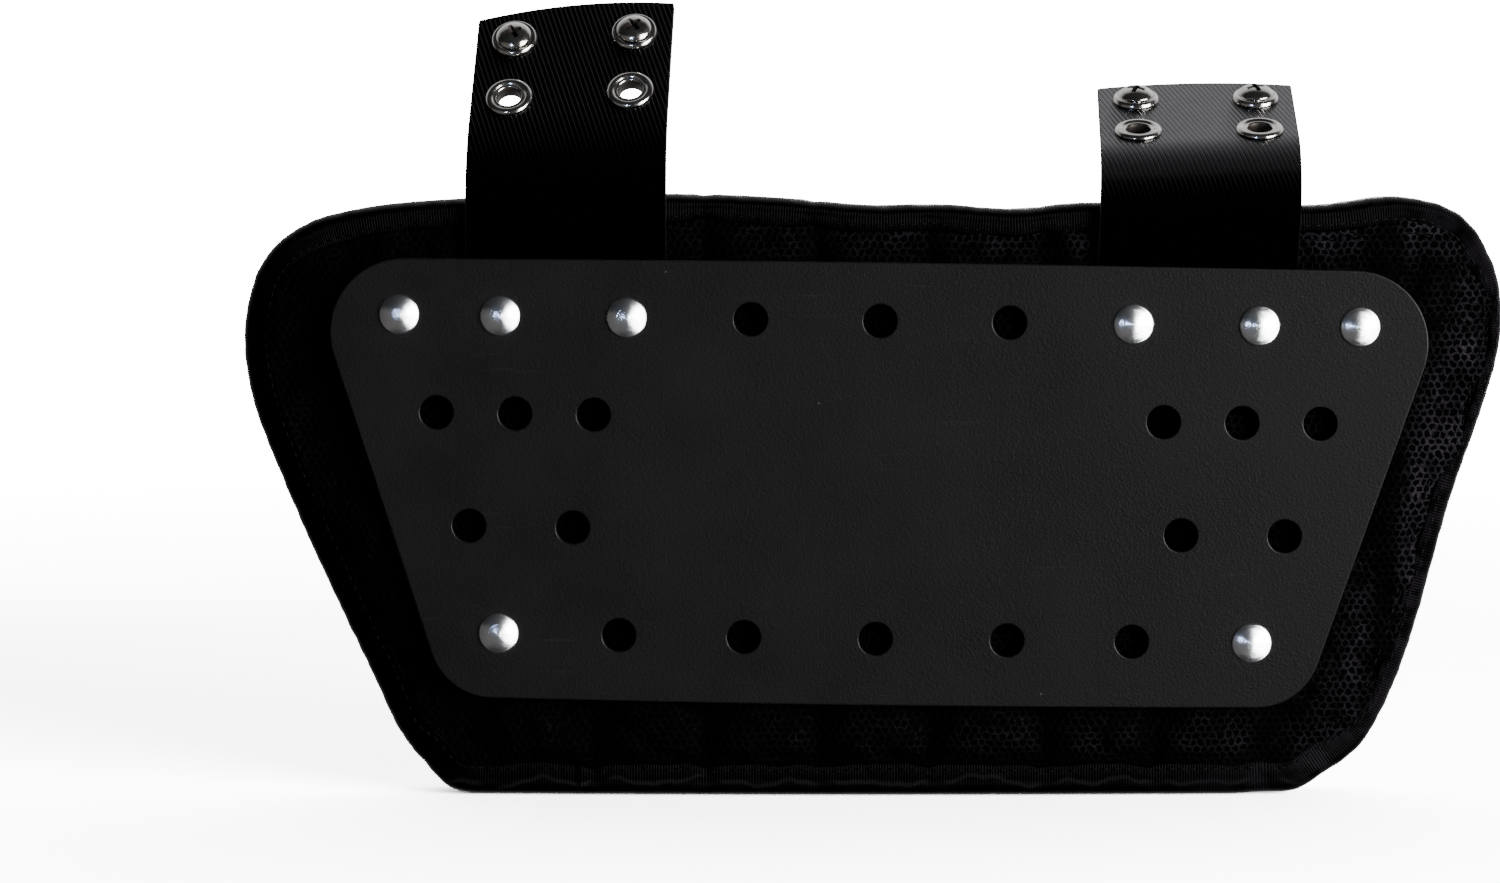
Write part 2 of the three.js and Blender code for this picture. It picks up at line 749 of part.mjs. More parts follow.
function strapGeometry(strap) {
  const reach = 2 * STRAP_THICKNESS;
  const holes = fittingPlaces(strap).map(({ kind, x, v }) =>
    drill(barrelDiameter(kind) + 2 * GAP, -reach, 2 * reach, ROUND_SIDES, strapFrame(strap, x, v)),
  );
  const lean = new THREE.Matrix4().makeRotationY(THREE.MathUtils.degToRad(-strap.lean));
  const rivets = [-1, 1].map((end) => {
    const x = (end * STRAP_RIVET_SPACING) / 2;
    const place = new THREE.Matrix4().makeTranslation(x, 0, 0).premultiply(lean);
    place.premultiply(new THREE.Matrix4().makeTranslation(-strap.shift, 0, 0));
    return drill(RIVET_SHANK + 2 * GAP, -reach, STRAP_THICKNESS + reach, SHANK_SIDES, place);
  });
  return cutAway(strapBlank(strap), [...holes, ...rivets]);
}

function eyeletGeometry() {
  const bore = EYELET_BORE / 2;
  const barrel = bore + EYELET_WALL;
  const rim = EYELET_DIAMETER / 2;
  const back = STRAP_THICKNESS + GAP;
  const profile = [
    [bore, 0],
    ...EYELET_ROLL.map(({ out, rise }) => [bore + out * (rim - bore), -rise * EYELET_RISE]),
    [rim, -GAP],
    [barrel, -GAP],
    [barrel, back],
    [EYELET_BACK_DIAMETER / 2, back],
    [EYELET_BACK_DIAMETER / 2, back + EYELET_BACK],
    [bore, back + EYELET_BACK],
    [bore, 0],
  ];
  return turned(profile, ROUND_SIDES);
}

function washerGeometry() {
  const hole = SCREW_SHANK / 2 + GAP;
  const rim = WASHER_DIAMETER / 2;
  const profile = [
    [hole, -GAP],
    [hole, -GAP - WASHER_SEAT * WASHER_RISE],
    [SCREW_HEAD / 2 + GAP, -GAP - WASHER_RISE],
    [WASHER_SHOULDER.out * rim, -GAP - WASHER_SHOULDER.rise * WASHER_RISE],
    [rim, -GAP],
    [hole, -GAP],
  ];
  return turned(profile, ROUND_SIDES);
}

// A screw whose head sits in its cup washer and whose shank ends in the nut.
function screwGeometry() {
  const seat = -GAP - WASHER_SEAT * WASHER_RISE - GAP;
  const rim = -GAP - WASHER_RISE;
  const crown = rim - SCREW_HEAD_RISE;
  const end = STRAP_THICKNESS + GAP + TEE_NUT_FLANGE;
  const profile = [
    ...SCREW_DOME.map(({ out, rise }) => [(out * SCREW_HEAD) / 2, rim - rise * SCREW_HEAD_RISE]),
    [SCREW_HEAD / 2, rim],
    [SCREW_SHANK / 2, seat],
    [SCREW_SHANK / 2, end],
    [0, end],
  ];
  const slots = [0, Math.PI / 2].map((angle) => {
    const slot = new THREE.BoxGeometry(SCREW_RECESS, 2 * SCREW_RECESS_DEPTH, SCREW_RECESS_WIDTH);
    return slot.rotateY(angle + Math.PI / 4).translate(0, crown, 0);
  });
  return cutAway(turned(profile, ROUND_SIDES), slots);
}

function teeNutGeometry() {
  const bore = SCREW_SHANK / 2 + GAP;
  const flange = STRAP_THICKNESS + GAP;
  const barrel = barrelDiameter("screw") / 2;
  const profile = [
    [bore, 0],
    [barrel, 0],
    [barrel, flange],
    [TEE_NUT_DIAMETER / 2, flange],
    [TEE_NUT_DIAMETER / 2, flange + TEE_NUT_FLANGE],
    [bore, flange + TEE_NUT_FLANGE],
    [bore, 0],
  ];
  return turned(profile, ROUND_SIDES);
}

function placedMesh(name, geometry, material, place) {
  const mesh = namedMesh(name, geometry, material);
  mesh.applyMatrix4(place);
  return mesh;
}

// One strap with its fittings, as a group that hangs from the strap's two rivets.
function strapGroup(strap) {
  const group = new THREE.Group();
  group.add(namedMesh(`strap_${strap.side}`, strapGeometry(strap), MATERIALS.strap));
  for (const { kind, name, x, v } of fittingPlaces(strap)) {
    const frame = strapFrame(strap, x, v);
    if (kind === "eyelet") {
      group.add(placedMesh(`eyelet_${name}`, eyeletGeometry(), MATERIALS.nickel, frame));
    } else {
      group.add(placedMesh(`cup_washer_${name}`, washerGeometry(), MATERIALS.nickel, frame));
      group.add(placedMesh(`screw_${name}`, screwGeometry(), MATERIALS.nickel, frame));
      group.add(placedMesh(`tee_nut_${name}`, teeNutGeometry(), MATERIALS.nickel, frame));
    }
  }
  return group;
}

// The plate with its rivets and straps, turned a little on the pad.
function plateGroup() {
  const group = new THREE.Group();
  const rivets = rivetPlaces();
  const reach = 2 * PLATE_THICKNESS;
  const hole = ({ x, z }, diameter, sides) => drill(diameter, -reach, 2 * reach, sides, onBow(x, 0, z));
  const holes = [
    ...ventPlaces().map((place) => hole(place, VENT_DIAMETER, VENT_SIDES)),
    ...rivets.map((place) => hole(place, RIVET_SHANK + 2 * GAP, SHANK_SIDES)),
  ];
  group.add(namedMesh("back_plate", cutAway(plateBlank(), holes), MATERIALS.plate));
  for (const place of rivets) {
    const frame = onBow(place.x, 0, place.z);
    group.add(placedMesh(place.name, rivetGeometry(place), MATERIALS.aluminium, frame));
  }
  for (const strap of STRAPS) {
    const holder = strapGroup(strap);
    const x = strap.sign * STRAP_OFFSET;
    const turn = new THREE.Matrix4().makeRotationY(THREE.MathUtils.degToRad(strap.lean));
    const shift = new THREE.Matrix4().makeTranslation(strap.shift, 0, 0);
    const seat = onBow(x, PLATE_THICKNESS + STRAP_SEAT, RIVET_ROW_Z);
    holder.applyMatrix4(seat.multiply(turn.multiply(shift)));
    group.add(holder);
  }
  group.position.set(PLATE_SHIFT, PLATE_BACK_Y - PLATE_THICKNESS, PLATE_CENTRE_Z);
  group.rotation.y = THREE.MathUtils.degToRad(PLATE_TURN);
  return group;
}

// Blind holes in the pad's front for the ends of the rivets.
function rivetPockets(plate) {
  plate.updateMatrixWorld(true);
  return rivetPlaces().map((place) => {
    const frame = onBow(place.x, 0, place.z).premultiply(plate.matrixWorld);
    return drill(RIVET_SHANK + 2 * GAP, 0, rivetEnd(place) + GAP, SHANK_SIDES, frame);
  });
}

function backPlate() {
  const stations = rimStations();
  const plate = plateGroup();
  const pad = cutAway(padGeometry(stations), rivetPockets(plate));
  const model = new THREE.Group();
  model.add(namedMesh("pad", pad, MATERIALS.pad));
  model.add(namedMesh("edge_binding", tapeGeometry(stations), MATERIALS.tape));
  model.add(plate);
  model.updateMatrixWorld(true);
  const box = new THREE.Box3().setFromObject(model, true);
  const centre = box.getCenter(new THREE.Vector3());
  model.position.set(-centre.x, -centre.y, -box.min.z);
  return model;
}

export default backPlate();
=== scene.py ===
# A worn football back plate: a stiff vented plate riveted to a quilted mesh pad with a taped edge,
# and two plastic strap ends with screws and eyelets. It stands on its lower edge on a pale floor.
# Lengths here are in millimetres and are turned into metres when a mesh is made.
import json
import math

import bmesh
import bpy
import numpy as np
from mathutils import Matrix, Vector, noise
from mathutils.geometry import delaunay_2d_cdt

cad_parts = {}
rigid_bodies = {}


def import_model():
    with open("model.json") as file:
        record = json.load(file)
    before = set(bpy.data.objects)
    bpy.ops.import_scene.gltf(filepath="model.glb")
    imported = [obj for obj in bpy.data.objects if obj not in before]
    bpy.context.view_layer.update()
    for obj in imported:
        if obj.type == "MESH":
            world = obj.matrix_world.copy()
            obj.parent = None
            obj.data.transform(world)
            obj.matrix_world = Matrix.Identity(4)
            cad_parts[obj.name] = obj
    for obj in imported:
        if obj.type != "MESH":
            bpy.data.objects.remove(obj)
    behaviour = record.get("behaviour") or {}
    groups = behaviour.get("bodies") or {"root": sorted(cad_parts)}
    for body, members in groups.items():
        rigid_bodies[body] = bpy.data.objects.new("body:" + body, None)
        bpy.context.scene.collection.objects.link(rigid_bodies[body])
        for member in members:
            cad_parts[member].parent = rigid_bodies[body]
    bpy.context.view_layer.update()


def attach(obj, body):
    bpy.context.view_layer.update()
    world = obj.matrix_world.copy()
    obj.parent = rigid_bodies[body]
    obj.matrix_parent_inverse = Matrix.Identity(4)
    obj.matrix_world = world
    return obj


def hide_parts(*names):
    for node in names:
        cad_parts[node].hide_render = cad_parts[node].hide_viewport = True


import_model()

MM = 0.001

# Sizes that the solids are built from.
GAP = 0.3
BOW_RADIUS = 2700
CENTRE = (-0.026, -16.509)
PAD_WIDTH = 380
PAD_HEIGHT = 182
PAD_FRONT = 11.3
PAD_BACK = 22
RIM_FRONT = 6
RIM_BACK = 13.5
CROWN_WIDTH = 15
CHANNEL_PITCH = 34
CHANNEL_START = 14.4
CHANNEL_COUNT = 6
HALF_QUILT = CHANNEL_PITCH * CHANNEL_COUNT / 2
HUB_HEIGHT = 0.52 * PAD_HEIGHT
TAPE_WIDTH = 10
TAPE_THICKNESS = 1.2
PLATE_TOP_WIDTH = 348
PLATE_BOTTOM_WIDTH = 259
PLATE_HEIGHT = 131.5
PLATE_THICKNESS = 3
PLATE_BULGE = 1
PLATE_TOP_RADIUS = 22
PLATE_BOTTOM_RADIUS = 19
PLATE_SHIFT = 1.5
PLATE_TURN = math.radians(0.75)
PLATE_CENTRE_Z = PAD_HEIGHT - 20.4 - PLATE_HEIGHT / 2
VENT_DIAMETER = 10
RIVET_HEAD = 12.3
RIVET_RISE = 2.6
STRAP_WIDTH = 60.5
STRAP_THICKNESS = 2
STRAP_OFFSET = 95
STRAP_TUCK = 15
STRAP_RISE = 11.5
STRAP_END_ARC = 3
STRAP_RIVET_SPACING = 38
FITTING_SPACING = 37
FITTING_FROM_END = 10.5
FITTING_ROWS = 23.8

# The pad's outline from the left end of its flat foot, anticlockwise from the front, as shares
# of its width (from its middle) and height (from the floor).
PAD_OUTLINE = [
    (-0.233, 0), (0.259, 0), (0.313, 0.009), (0.34, 0.016), (0.36, 0.045), (0.388, 0.093),
    (0.417, 0.203), (0.461, 0.503), (0.482, 0.627), (0.498, 0.744), (0.5, 0.827), (0.49, 0.902),
    (0.467, 0.965), (0.423, 0.992), (0.359, 0.98), (0.263, 0.984), (0.16, 0.985), (0.111, 0.976),
    (0.051, 0.984), (-0.001, 0.982), (-0.065, 0.993), (-0.137, 1), (-0.249, 0.998),
    (-0.334, 0.992), (-0.406, 0.977), (-0.454, 0.948), (-0.485, 0.889), (-0.499, 0.79),
    (-0.495, 0.677), (-0.469, 0.528), (-0.396, 0.203), (-0.373, 0.103), (-0.356, 0.06),
    (-0.336, 0.018), (-0.3, 0.006),
]

# Rows of vents and corner rivets as shares of the plate's height and top width.
PLATE_ROWS = [
    {"name": "top", "up": 0.374, "vents": (0, 0.1115), "rivets": (0.415,)},
    {"name": "upper", "up": 0.151, "vents": (0.246, 0.314, 0.382), "rivets": ()},
    {"name": "lower", "up": -0.108, "vents": (0.263, 0.353), "rivets": ()},
    {"name": "bottom", "up": -0.354, "vents": (0, 0.114, 0.222), "rivets": (0.3265,)},
]

STRAPS = [
    {"side": "left", "sign": -1, "shift": 0.8, "radius": 50, "bend": 41, "reach": 42,
     "lean": -1.2, "axis_turn": 4, "end_slant": 5},
    {"side": "right", "sign": 1, "shift": -0.5, "radius": 30, "bend": 66, "reach": 41,
     "lean": 2.6, "axis_turn": 6, "end_slant": 2},
]

PLATE_BACK_Y = -(PAD_FRONT + GAP)
RIVET_ROW_Z = PLATE_ROWS[0]["up"] * PLATE_HEIGHT


def bow_depth(x):
    return x * x / (2 * BOW_RADIUS)


def rim_depth(face):
    return RIM_FRONT if face < 0 else RIM_BACK


STRAP_SEAT = GAP + bow_depth(STRAP_WIDTH / 2)
BEND_LINE = STRAP_TUCK + PLATE_HEIGHT / 2 - RIVET_ROW_Z + STRAP_RISE

ROW = Matrix.Translation((CENTRE[0], CENTRE[1], 0))
PLATE = (ROW @ Matrix.Translation((PLATE_SHIFT, PLATE_BACK_Y - PLATE_THICKNESS, PLATE_CENTRE_Z))
         @ Matrix.Rotation(PLATE_TURN, 4, "Y"))


def on_bow(x, depth, z):
    turned = Matrix.Rotation(math.atan(x / BOW_RADIUS), 4, "Z")
    return Matrix.Translation((x, depth + bow_depth(x), z)) @ turned


def smoothstep(low, high, value):
    """An eased share of the way from low to high, which may lie the other way round."""
    t = min(max((value - low) / (high - low), 0), 1)
    return t * t * (3 - 2 * t)


# Meshes

LATHE_SIDES = 64
CREASE_ANGLE = math.radians(38)


def scene_object(name, data):
    obj = bpy.data.objects.new(name, data)
    bpy.context.scene.collection.objects.link(obj)
    return obj


def circle(x, z, radius, sides):
    return [(x + radius * math.cos(2 * math.pi * i / sides), z + radius * math.sin(2 * math.pi * i / sides))
            for i in range(sides)]


def mesh_object(name, points, faces, material, uv=None):
    """An object from points in millimetres, with its faces and, if given, a flat place for each point."""
    mesh = bpy.data.meshes.new(name)
    mesh.from_pydata([tuple(c * MM for c in p) for p in points], [], faces)
    mesh.validate()
    if uv is not None:
        layer = mesh.uv_layers.new(name="flat")
        index = np.empty(len(mesh.loops), dtype=np.int32)
        mesh.loops.foreach_get("vertex_index", index)
        flat = np.asarray(uv, dtype=np.float32)[index]
        layer.data.foreach_set("uv", flat.ravel())
    mesh.polygons.foreach_set("use_smooth", [True] * len(mesh.polygons))
    mesh.update()
    if material is not None:
        mesh.materials.append(material)
    return scene_object(name, mesh)


def bands(rows, closed=True):
    """Quads between neighbouring rows of corner numbers."""
    faces = []
    for near, far in zip(rows, rows[1:]):
        count = len(near)
        for i in range(count if closed else count - 1):
            j = (i + 1) % count
            corners = [near[i], far[i], far[j], near[j]]
            kept = [c for k, c in enumerate(corners) if c != corners[k - 1]]
            if len(kept) >= 3:
                faces.append(kept)
    return faces


def eased(profile, steps):
    """A smooth run of points through a profile of (radius, depth)."""
    points = []
    for i in range(len(profile) - 1):
        p0 = Vector(profile[max(i - 1, 0)])
        p1, p2 = Vector(profile[i]), Vector(profile[i + 1])
        p3 = Vector(profile[min(i + 2, len(profile) - 1)])
        for step in range(steps):
            t = step / steps
            points.append(tuple(0.5 * (2 * p1 + (p2 - p0) * t + (2 * p0 - 5 * p1 + 4 * p2 - p3) * t * t
                                       + (3 * p1 - p0 - 3 * p2 + p3) * t ** 3)))
    points.append(profile[-1])
    return points


def lathe(name, profile, material, place, closed=False, bore=None):
    """A round body about the local Y axis from a profile of (radius, depth).

    A bore is given by its radius and its own material.
    """
    points, rows = [], []
    for radius, depth in profile:
        if abs(radius) < 1e-6:
            points.append((0, depth, 0))
            rows.append([len(points) - 1] * LATHE_SIDES)
            continue
        rows.append(range(len(points), len(points) + LATHE_SIDES))
        points += [(x, depth, z) for x, z in circle(0, 0, radius, LATHE_SIDES)]
    if closed:
        rows.append(rows[0])
    placed = [place @ Vector(p) for p in points]
    obj = mesh_object(name, placed, bands(rows), material, [(x, z) for x, _, z in points])
    outward(obj)
    if bore is not None:
        radius, inside = bore
        obj.data.materials.append(inside)
        reach = [math.hypot(x, z) for x, _, z in points]
        kinds = [int(max(reach[i] for i in face.vertices) < radius) for face in obj.data.polygons]
        obj.data.polygons.foreach_set("material_index", kinds)
    return obj


def outward(obj):
    body = bmesh.new()
    body.from_mesh(obj.data)
    bmesh.ops.recalc_face_normals(body, faces=body.faces)
    body.to_mesh(obj.data)
    body.free()


def ring_normals(ring):
    """Unit normals that point to the right of a closed run of 2-D points."""
    pts = np.asarray(ring, dtype=float)
    along = np.roll(pts, -1, axis=0) - np.roll(pts, 1, axis=0)
    along /= np.linalg.norm(along, axis=1)[:, None]
    return np.stack([along[:, 1], -along[:, 0]], axis=1)


def inside_ring(ring, points):
    """Which of the points lie in a closed run of 2-D points."""
    ring = np.asarray(ring)
    points = np.asarray(points)
    a, b = ring, np.roll(ring, -1, axis=0)
    hit = np.zeros(len(points), dtype=bool)
    for (ax, ay), (bx, by) in zip(a, b):
        if ay == by:
            continue
        crosses = ((ay > points[:, 1]) != (by > points[:, 1]))
        x = ax + (points[:, 1] - ay) * (bx - ax) / (by - ay)
        hit ^= crosses & (points[:, 0] < x)
    return hit


def sheet_body(name, outline, holes, thickness, bevel, spacing, place, materials, hole_material=0):
    """A plate or strap: a flat outline with holes, rounded at its edges and carried to its place."""
    steps = 4
    rings = [np.asarray(outline)] + [np.asarray(h)[::-1] for h in holes]
    normals = [ring_normals(r) for r in rings]
    inner = [r - n * bevel for r, n in zip(rings, normals)]
    low, high = inner[0].min(axis=0), inner[0].max(axis=0)
    xs = np.arange(low[0] + spacing[0] / 2, high[0], spacing[0])
    zs = np.arange(low[1] + spacing[1] / 2, high[1], spacing[1])
    grid = np.array([(x, z) for x in xs for z in zs])
    keep = inside_ring(inner[0], grid)
    for r in inner[1:]:
        centre = r.mean(axis=0)
        reach = np.linalg.norm(r - centre, axis=1).max() + 0.35 * min(spacing)
        keep &= np.linalg.norm(grid - centre, axis=1) > reach
    grid = grid[keep]
    near = np.full(len(grid), np.inf)
    for corner in inner[0]:
        near = np.minimum(near, np.linalg.norm(grid - corner, axis=1))
    grid = grid[near > 0.4 * min(spacing)]
    flat, edges = [], []
    for r in inner:
        first = len(flat)
        flat += [tuple(p) for p in r]
        edges += [(first + i, first + (i + 1) % len(r)) for i in range(len(r))]
    flat += [tuple(p) for p in grid]
    verts, _, tris, *_ = delaunay_2d_cdt([Vector(p) for p in flat], edges, [], 0, 1e-5)
    verts = np.array([tuple(v) for v in verts])
    if len(verts) != len(flat):
        raise RuntimeError(f"{name}: the flat triangulation moved its corners")
    centres = verts[np.array(tris)].mean(axis=1)
    good = inside_ring(inner[0], centres)
    for r in inner[1:]:
        good &= ~inside_ring(r, centres)
    tris = [t for t, ok in zip(tris, good) if ok]
    points = [(x, 0.0, z) for x, z in verts]
    count = len(points)
    points += [(x, thickness, z) for x, z in verts]
    faces, kinds = [], []
    for a, b, c in tris:
        turn = np.cross(verts[b] - verts[a], verts[c] - verts[a])
        front = (a, b, c) if turn > 0 else (a, c, b)
        faces.append(front)
        faces.append(tuple(count + i for i in reversed(front)))
        kinds += [0, 0]
    first = 0
    for k, (r, n) in enumerate(zip(inner, normals)):
        size = len(r)
        rows = [range(first, first + size)]
        turns = range(1, steps + 1)
        for back, step in [(False, k) for k in turns] + [(True, k) for k in reversed(turns)]:
            angle = math.pi / 2 * step / steps
            rows.append(range(len(points), len(points) + size))
            ring = r + n * bevel * math.sin(angle)
            depth = bevel * (1 - math.cos(angle))
            points += [(x, thickness - depth if back else depth, z) for x, z in ring]
        rows.append(range(count + first, count + first + size))
        made = bands(rows)
        faces += made
        kinds += [1 if k == 0 else hole_material] * len(made)
        first += size
    uv = [(x, z) for x, _, z in points]
    placed = [place(*p) for p in points]
    obj = mesh_object(name, placed, faces, None, uv)
    for material in materials:
        obj.data.materials.append(material)
    obj.data.polygons.foreach_set("material_index", kinds)
    outward(obj)
    even = obj.modifiers.new("even", "WEIGHTED_NORMAL")
    even.weight = 90
    return obj


def taken(obj, slot, *nodes):
    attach(obj, "root")
    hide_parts(*nodes)


# Materials

# Pitches of the mesh's cells and of the ribs on the tape and the straps.
CELL_PITCH = 2.45
TAPE_RIB_PITCH = 0.84
STRAP_RIB_PITCH = 1.45

# The plate's side edge: its distance from the middle at the floor, and its lean with the height.
PLATE_SIDE_AT_FLOOR = 120.8
PLATE_SIDE_LEAN = 0.3384


class Nodes:
    """Builds a material's nodes."""

    def __init__(self, name):
        self.material = bpy.data.materials.new(name)
        self.material.use_nodes = True
        self.tree = self.material.node_tree
        self.shader = self.tree.nodes["Principled BSDF"]

    def node(self, kind, **settings):
        made = self.tree.nodes.new(kind)
        for key, value in settings.items():
            setattr(made, key, value)
        return made

    def feed(self, value, socket):
        if isinstance(value, bpy.types.NodeSocket):
            self.tree.links.new(value, socket)
        else:
            socket.default_value = value

    def math(self, operation, *values):
        made = self.node("ShaderNodeMath", operation=operation)
        for value, socket in zip(values, made.inputs):
            self.feed(value, socket)
        return made.outputs[0]

    def times(self, first, second):
        return self.math("MULTIPLY", first, second)

    def plus(self, first, second):
        return self.math("ADD", first, second)

    def minus(self, first, second):
        return self.math("SUBTRACT", first, second)

    def most(self, first, second):
        return self.math("MAXIMUM", first, second)

    def wave(self, value, pitch):
        """0 at each whole number of pitches, and 1 midway between two."""
        return self.math("ABSOLUTE", self.math("SINE", self.times(value, math.pi / pitch)))

    def length(self, vector):
        made = self.node("ShaderNodeVectorMath", operation="LENGTH")
        self.feed(vector, made.inputs[0])
        return made.outputs["Value"]

    def mixed(self, share, first, second):
        made = self.node("ShaderNodeMixShader")
        for value, socket in zip((share, first, second), made.inputs):
            self.feed(value, socket)
        return made.outputs[0]

    def place(self, uv=False):
        """The place on the piece in millimetres."""
        coordinates = self.node("ShaderNodeTexCoord")
        if uv:
            return coordinates.outputs["UV"]
        scaled = self.node("ShaderNodeVectorMath", operation="SCALE")
        self.feed(coordinates.outputs["Object"], scaled.inputs[0])
        scaled.inputs["Scale"].default_value = 1000
        return scaled.outputs[0]

    def parts(self, vector):
        split = self.node("ShaderNodeSeparateXYZ")
        self.feed(vector, split.inputs[0])
        return split.outputs

    def joined(self, x, y, z=0.0):
        made = self.node("ShaderNodeCombineXYZ")
        for value, socket in zip((x, y, z), made.inputs):
            self.feed(value, socket)
        return made.outputs[0]

    def noise(self, vector, size, detail=2.0, roughness=0.5, output="Fac"):
        """Noise whose features are about that size in millimetres."""
        made = self.node("ShaderNodeTexNoise")
        self.feed(vector, made.inputs["Vector"])
        made.inputs["Scale"].default_value = 1 / size
        made.inputs["Detail"].default_value = detail
        made.inputs["Roughness"].default_value = roughness
        return made.outputs[output]

    def shaken(self, vector, place, reach, size, detail=2.0, roughness=0.5):
        """A vector that is moved about by noise over the place, up to the reach in millimetres."""
        made = self.node("ShaderNodeVectorMath", operation="MULTIPLY_ADD")
        self.feed(self.noise(place, size, detail, roughness, "Color"), made.inputs[0])
        made.inputs[1].default_value = (reach, reach, reach)
        self.feed(vector, made.inputs[2])
        return made.outputs[0]

    def cells(self, vector, size, feature="F1"):
        made = self.node("ShaderNodeTexVoronoi", feature=feature)
        self.feed(vector, made.inputs["Vector"])
        made.inputs["Scale"].default_value = 1 / size
        return made.outputs["Distance"]

    def ramp(self, value, low, high, start=0.0, end=1.0):
        made = self.node("ShaderNodeMapRange", clamp=True)
        for item, socket in zip((value, low, high, start, end), made.inputs):
            self.feed(item, socket)
        return made.outputs[0]

    def blend(self, share, first, second):
        made = self.node("ShaderNodeMix", data_type="RGBA")
        self.feed(share, made.inputs["Factor"])
        sockets = [s for s in made.inputs if s.type == "RGBA"]
        for value, socket in zip((first, second), sockets):
            self.feed((*value, 1.0) if isinstance(value, tuple) else value, socket)
        return [s for s in made.outputs if s.type == "RGBA"][0]

    def bump(self, height, distance, strength=1.0):
        made = self.node("ShaderNodeBump")
        made.inputs["Strength"].default_value = strength
        made.inputs["Distance"].default_value = distance * MM
        self.feed(height, made.inputs["Height"])
        return made.outputs["Normal"]

    def finish(self, colour, roughness, normal=None, metallic=0.0, specular=0.5, **others):
        sockets = self.shader.inputs
        self.feed((*colour, 1.0) if isinstance(colour, tuple) else colour, sockets["Base Color"])
        self.feed(roughness, sockets["Roughness"])
        sockets["Metallic"].default_value = metallic
        sockets["Specular IOR Level"].default_value = specular
        for name, value in others.items():
            sockets[name.replace("_", " ").title()].default_value = value
        if normal is not None:
            self.feed(normal, sockets["Normal"])
        return self.material


def hex_mesh(n, x, z, pitch):
    """Distance from the middle of the nearest cell of a honeycomb, from 0 to 0.5."""
    root = math.sqrt(3)
    u = n.math("DIVIDE", x, pitch)
    v = n.math("DIVIDE", z, pitch)
    found = []
    for offset in (0.0, 0.5):
        a = n.minus(n.math("FLOORED_MODULO", n.plus(u, offset), 1.0), 0.5)
        b = n.minus(n.math("FLOORED_MODULO", n.plus(v, offset * root), root), root / 2)
        a, b = n.math("ABSOLUTE", a), n.math("ABSOLUTE", b)
        slant = n.plus(n.times(a, 0.5), n.times(b, root / 2))
        found.append(n.most(a, slant))
    return n.math("MINIMUM", *found)


def channel_wave(n, x):
    """0 along each painted dark band of shade in the quilting, and 1 midway between two of them.

    The bands lie near the photo's, 2.6 mm to the right of the built channels, and they carry on
    past the last channel to the pad's ends.
    """
    return n.wave(n.plus(x, CHANNEL_START), CHANNEL_PITCH)


def mesh_material():
    """Spacer mesh: open cells between looped threads, over darker foam, with painted light and shade in its
    colour.
    """
    n = Nodes("spacer_mesh")
    place = n.place()
    moved = n.shaken(place, place, 2.6, 6, 3, 0.6)
    x, _, z = n.parts(n.shaken(moved, place, 1.7, 1.7))
    cell = hex_mesh(n, x, z, CELL_PITCH)
    thread = n.ramp(cell, 0.3, 0.42)
    bare = n.ramp(n.noise(place, 7.0, 3.0, 0.6), 0.36, 0.56)
    fibre = n.noise(n.joined(x, z, n.times(cell, 9.0)), 0.35, 3.0)
    thread_dome = n.math("SINE", n.times(n.ramp(cell, 0.24, 0.76), math.pi))
    height = n.plus(thread_dome, n.times(fibre, 0.35))
    loops = n.times(thread, n.ramp(fibre, 0.36, 0.62, 0.08, 1.0))
    loops = n.times(loops, n.plus(n.times(bare, 0.75), 0.25))
    where_x, where_y, where_z = n.parts(place)
    # Painted light: the colour is painted darker to the left and towards the bottom, where less light falls.
    painted_light = n.times(n.ramp(where_x, -80.0, 150.0, 0.07, 1.0), n.ramp(where_z, 20.0, 70.0, 0.5, 1.0))
    # Painted shadow: the colour is painted far darker over the plate's area and just past its edges, where
    # the plate shades the mesh.
    slope = n.plus(n.times(where_z, PLATE_SIDE_LEAN), PLATE_SIDE_AT_FLOOR)
    right = n.minus(where_x, slope)
    left = n.minus(n.times(where_x, -1.0), slope)
    out_of_plate_shadow = n.most(n.ramp(right, 2.0, 11.0), n.ramp(left, 2.0, 11.0))
    out_of_plate_shadow = n.most(out_of_plate_shadow, n.most(n.ramp(where_z, 163.0, 171.0), n.ramp(where_z, 28.0, 20.0)))
    painted_light = n.times(painted_light, n.plus(n.times(out_of_plate_shadow, 0.86), 0.14))
    # Painted shade along the dark bands of the quilting's creases.
    painted_light = n.times(painted_light, n.ramp(channel_wave(n, where_x), 0.2, 0.72, 0.1, 1.0))
    # Painted shade along the lowest strip of the front, where it turns down.
    painted_light = n.times(painted_light, n.ramp(where_z, 11.5, 16.0, 0.2, 1.0))
    # The back is painted evenly paler, without the front's painted light and shade.
    painted_light = n.most(painted_light, n.ramp(where_y, -9.0, -4.0, 0.0, 0.75))
    colour = n.blend(n.times(loops, painted_light), (0.0001, 0.0001, 0.00012), (0.05, 0.043, 0.056))
    lint = n.ramp(n.noise(place, 1.3, 4.0, 0.7), 0.74, 0.8)
    colour = n.blend(n.times(lint, 0.2), colour, (0.05, 0.05, 0.052))
    rough = n.ramp(loops, 0.0, 1.0, 0.95, 0.36)
    normal = n.bump(height, 0.55, 0.9)
    return n.finish(colour, rough, normal, specular=0.05)


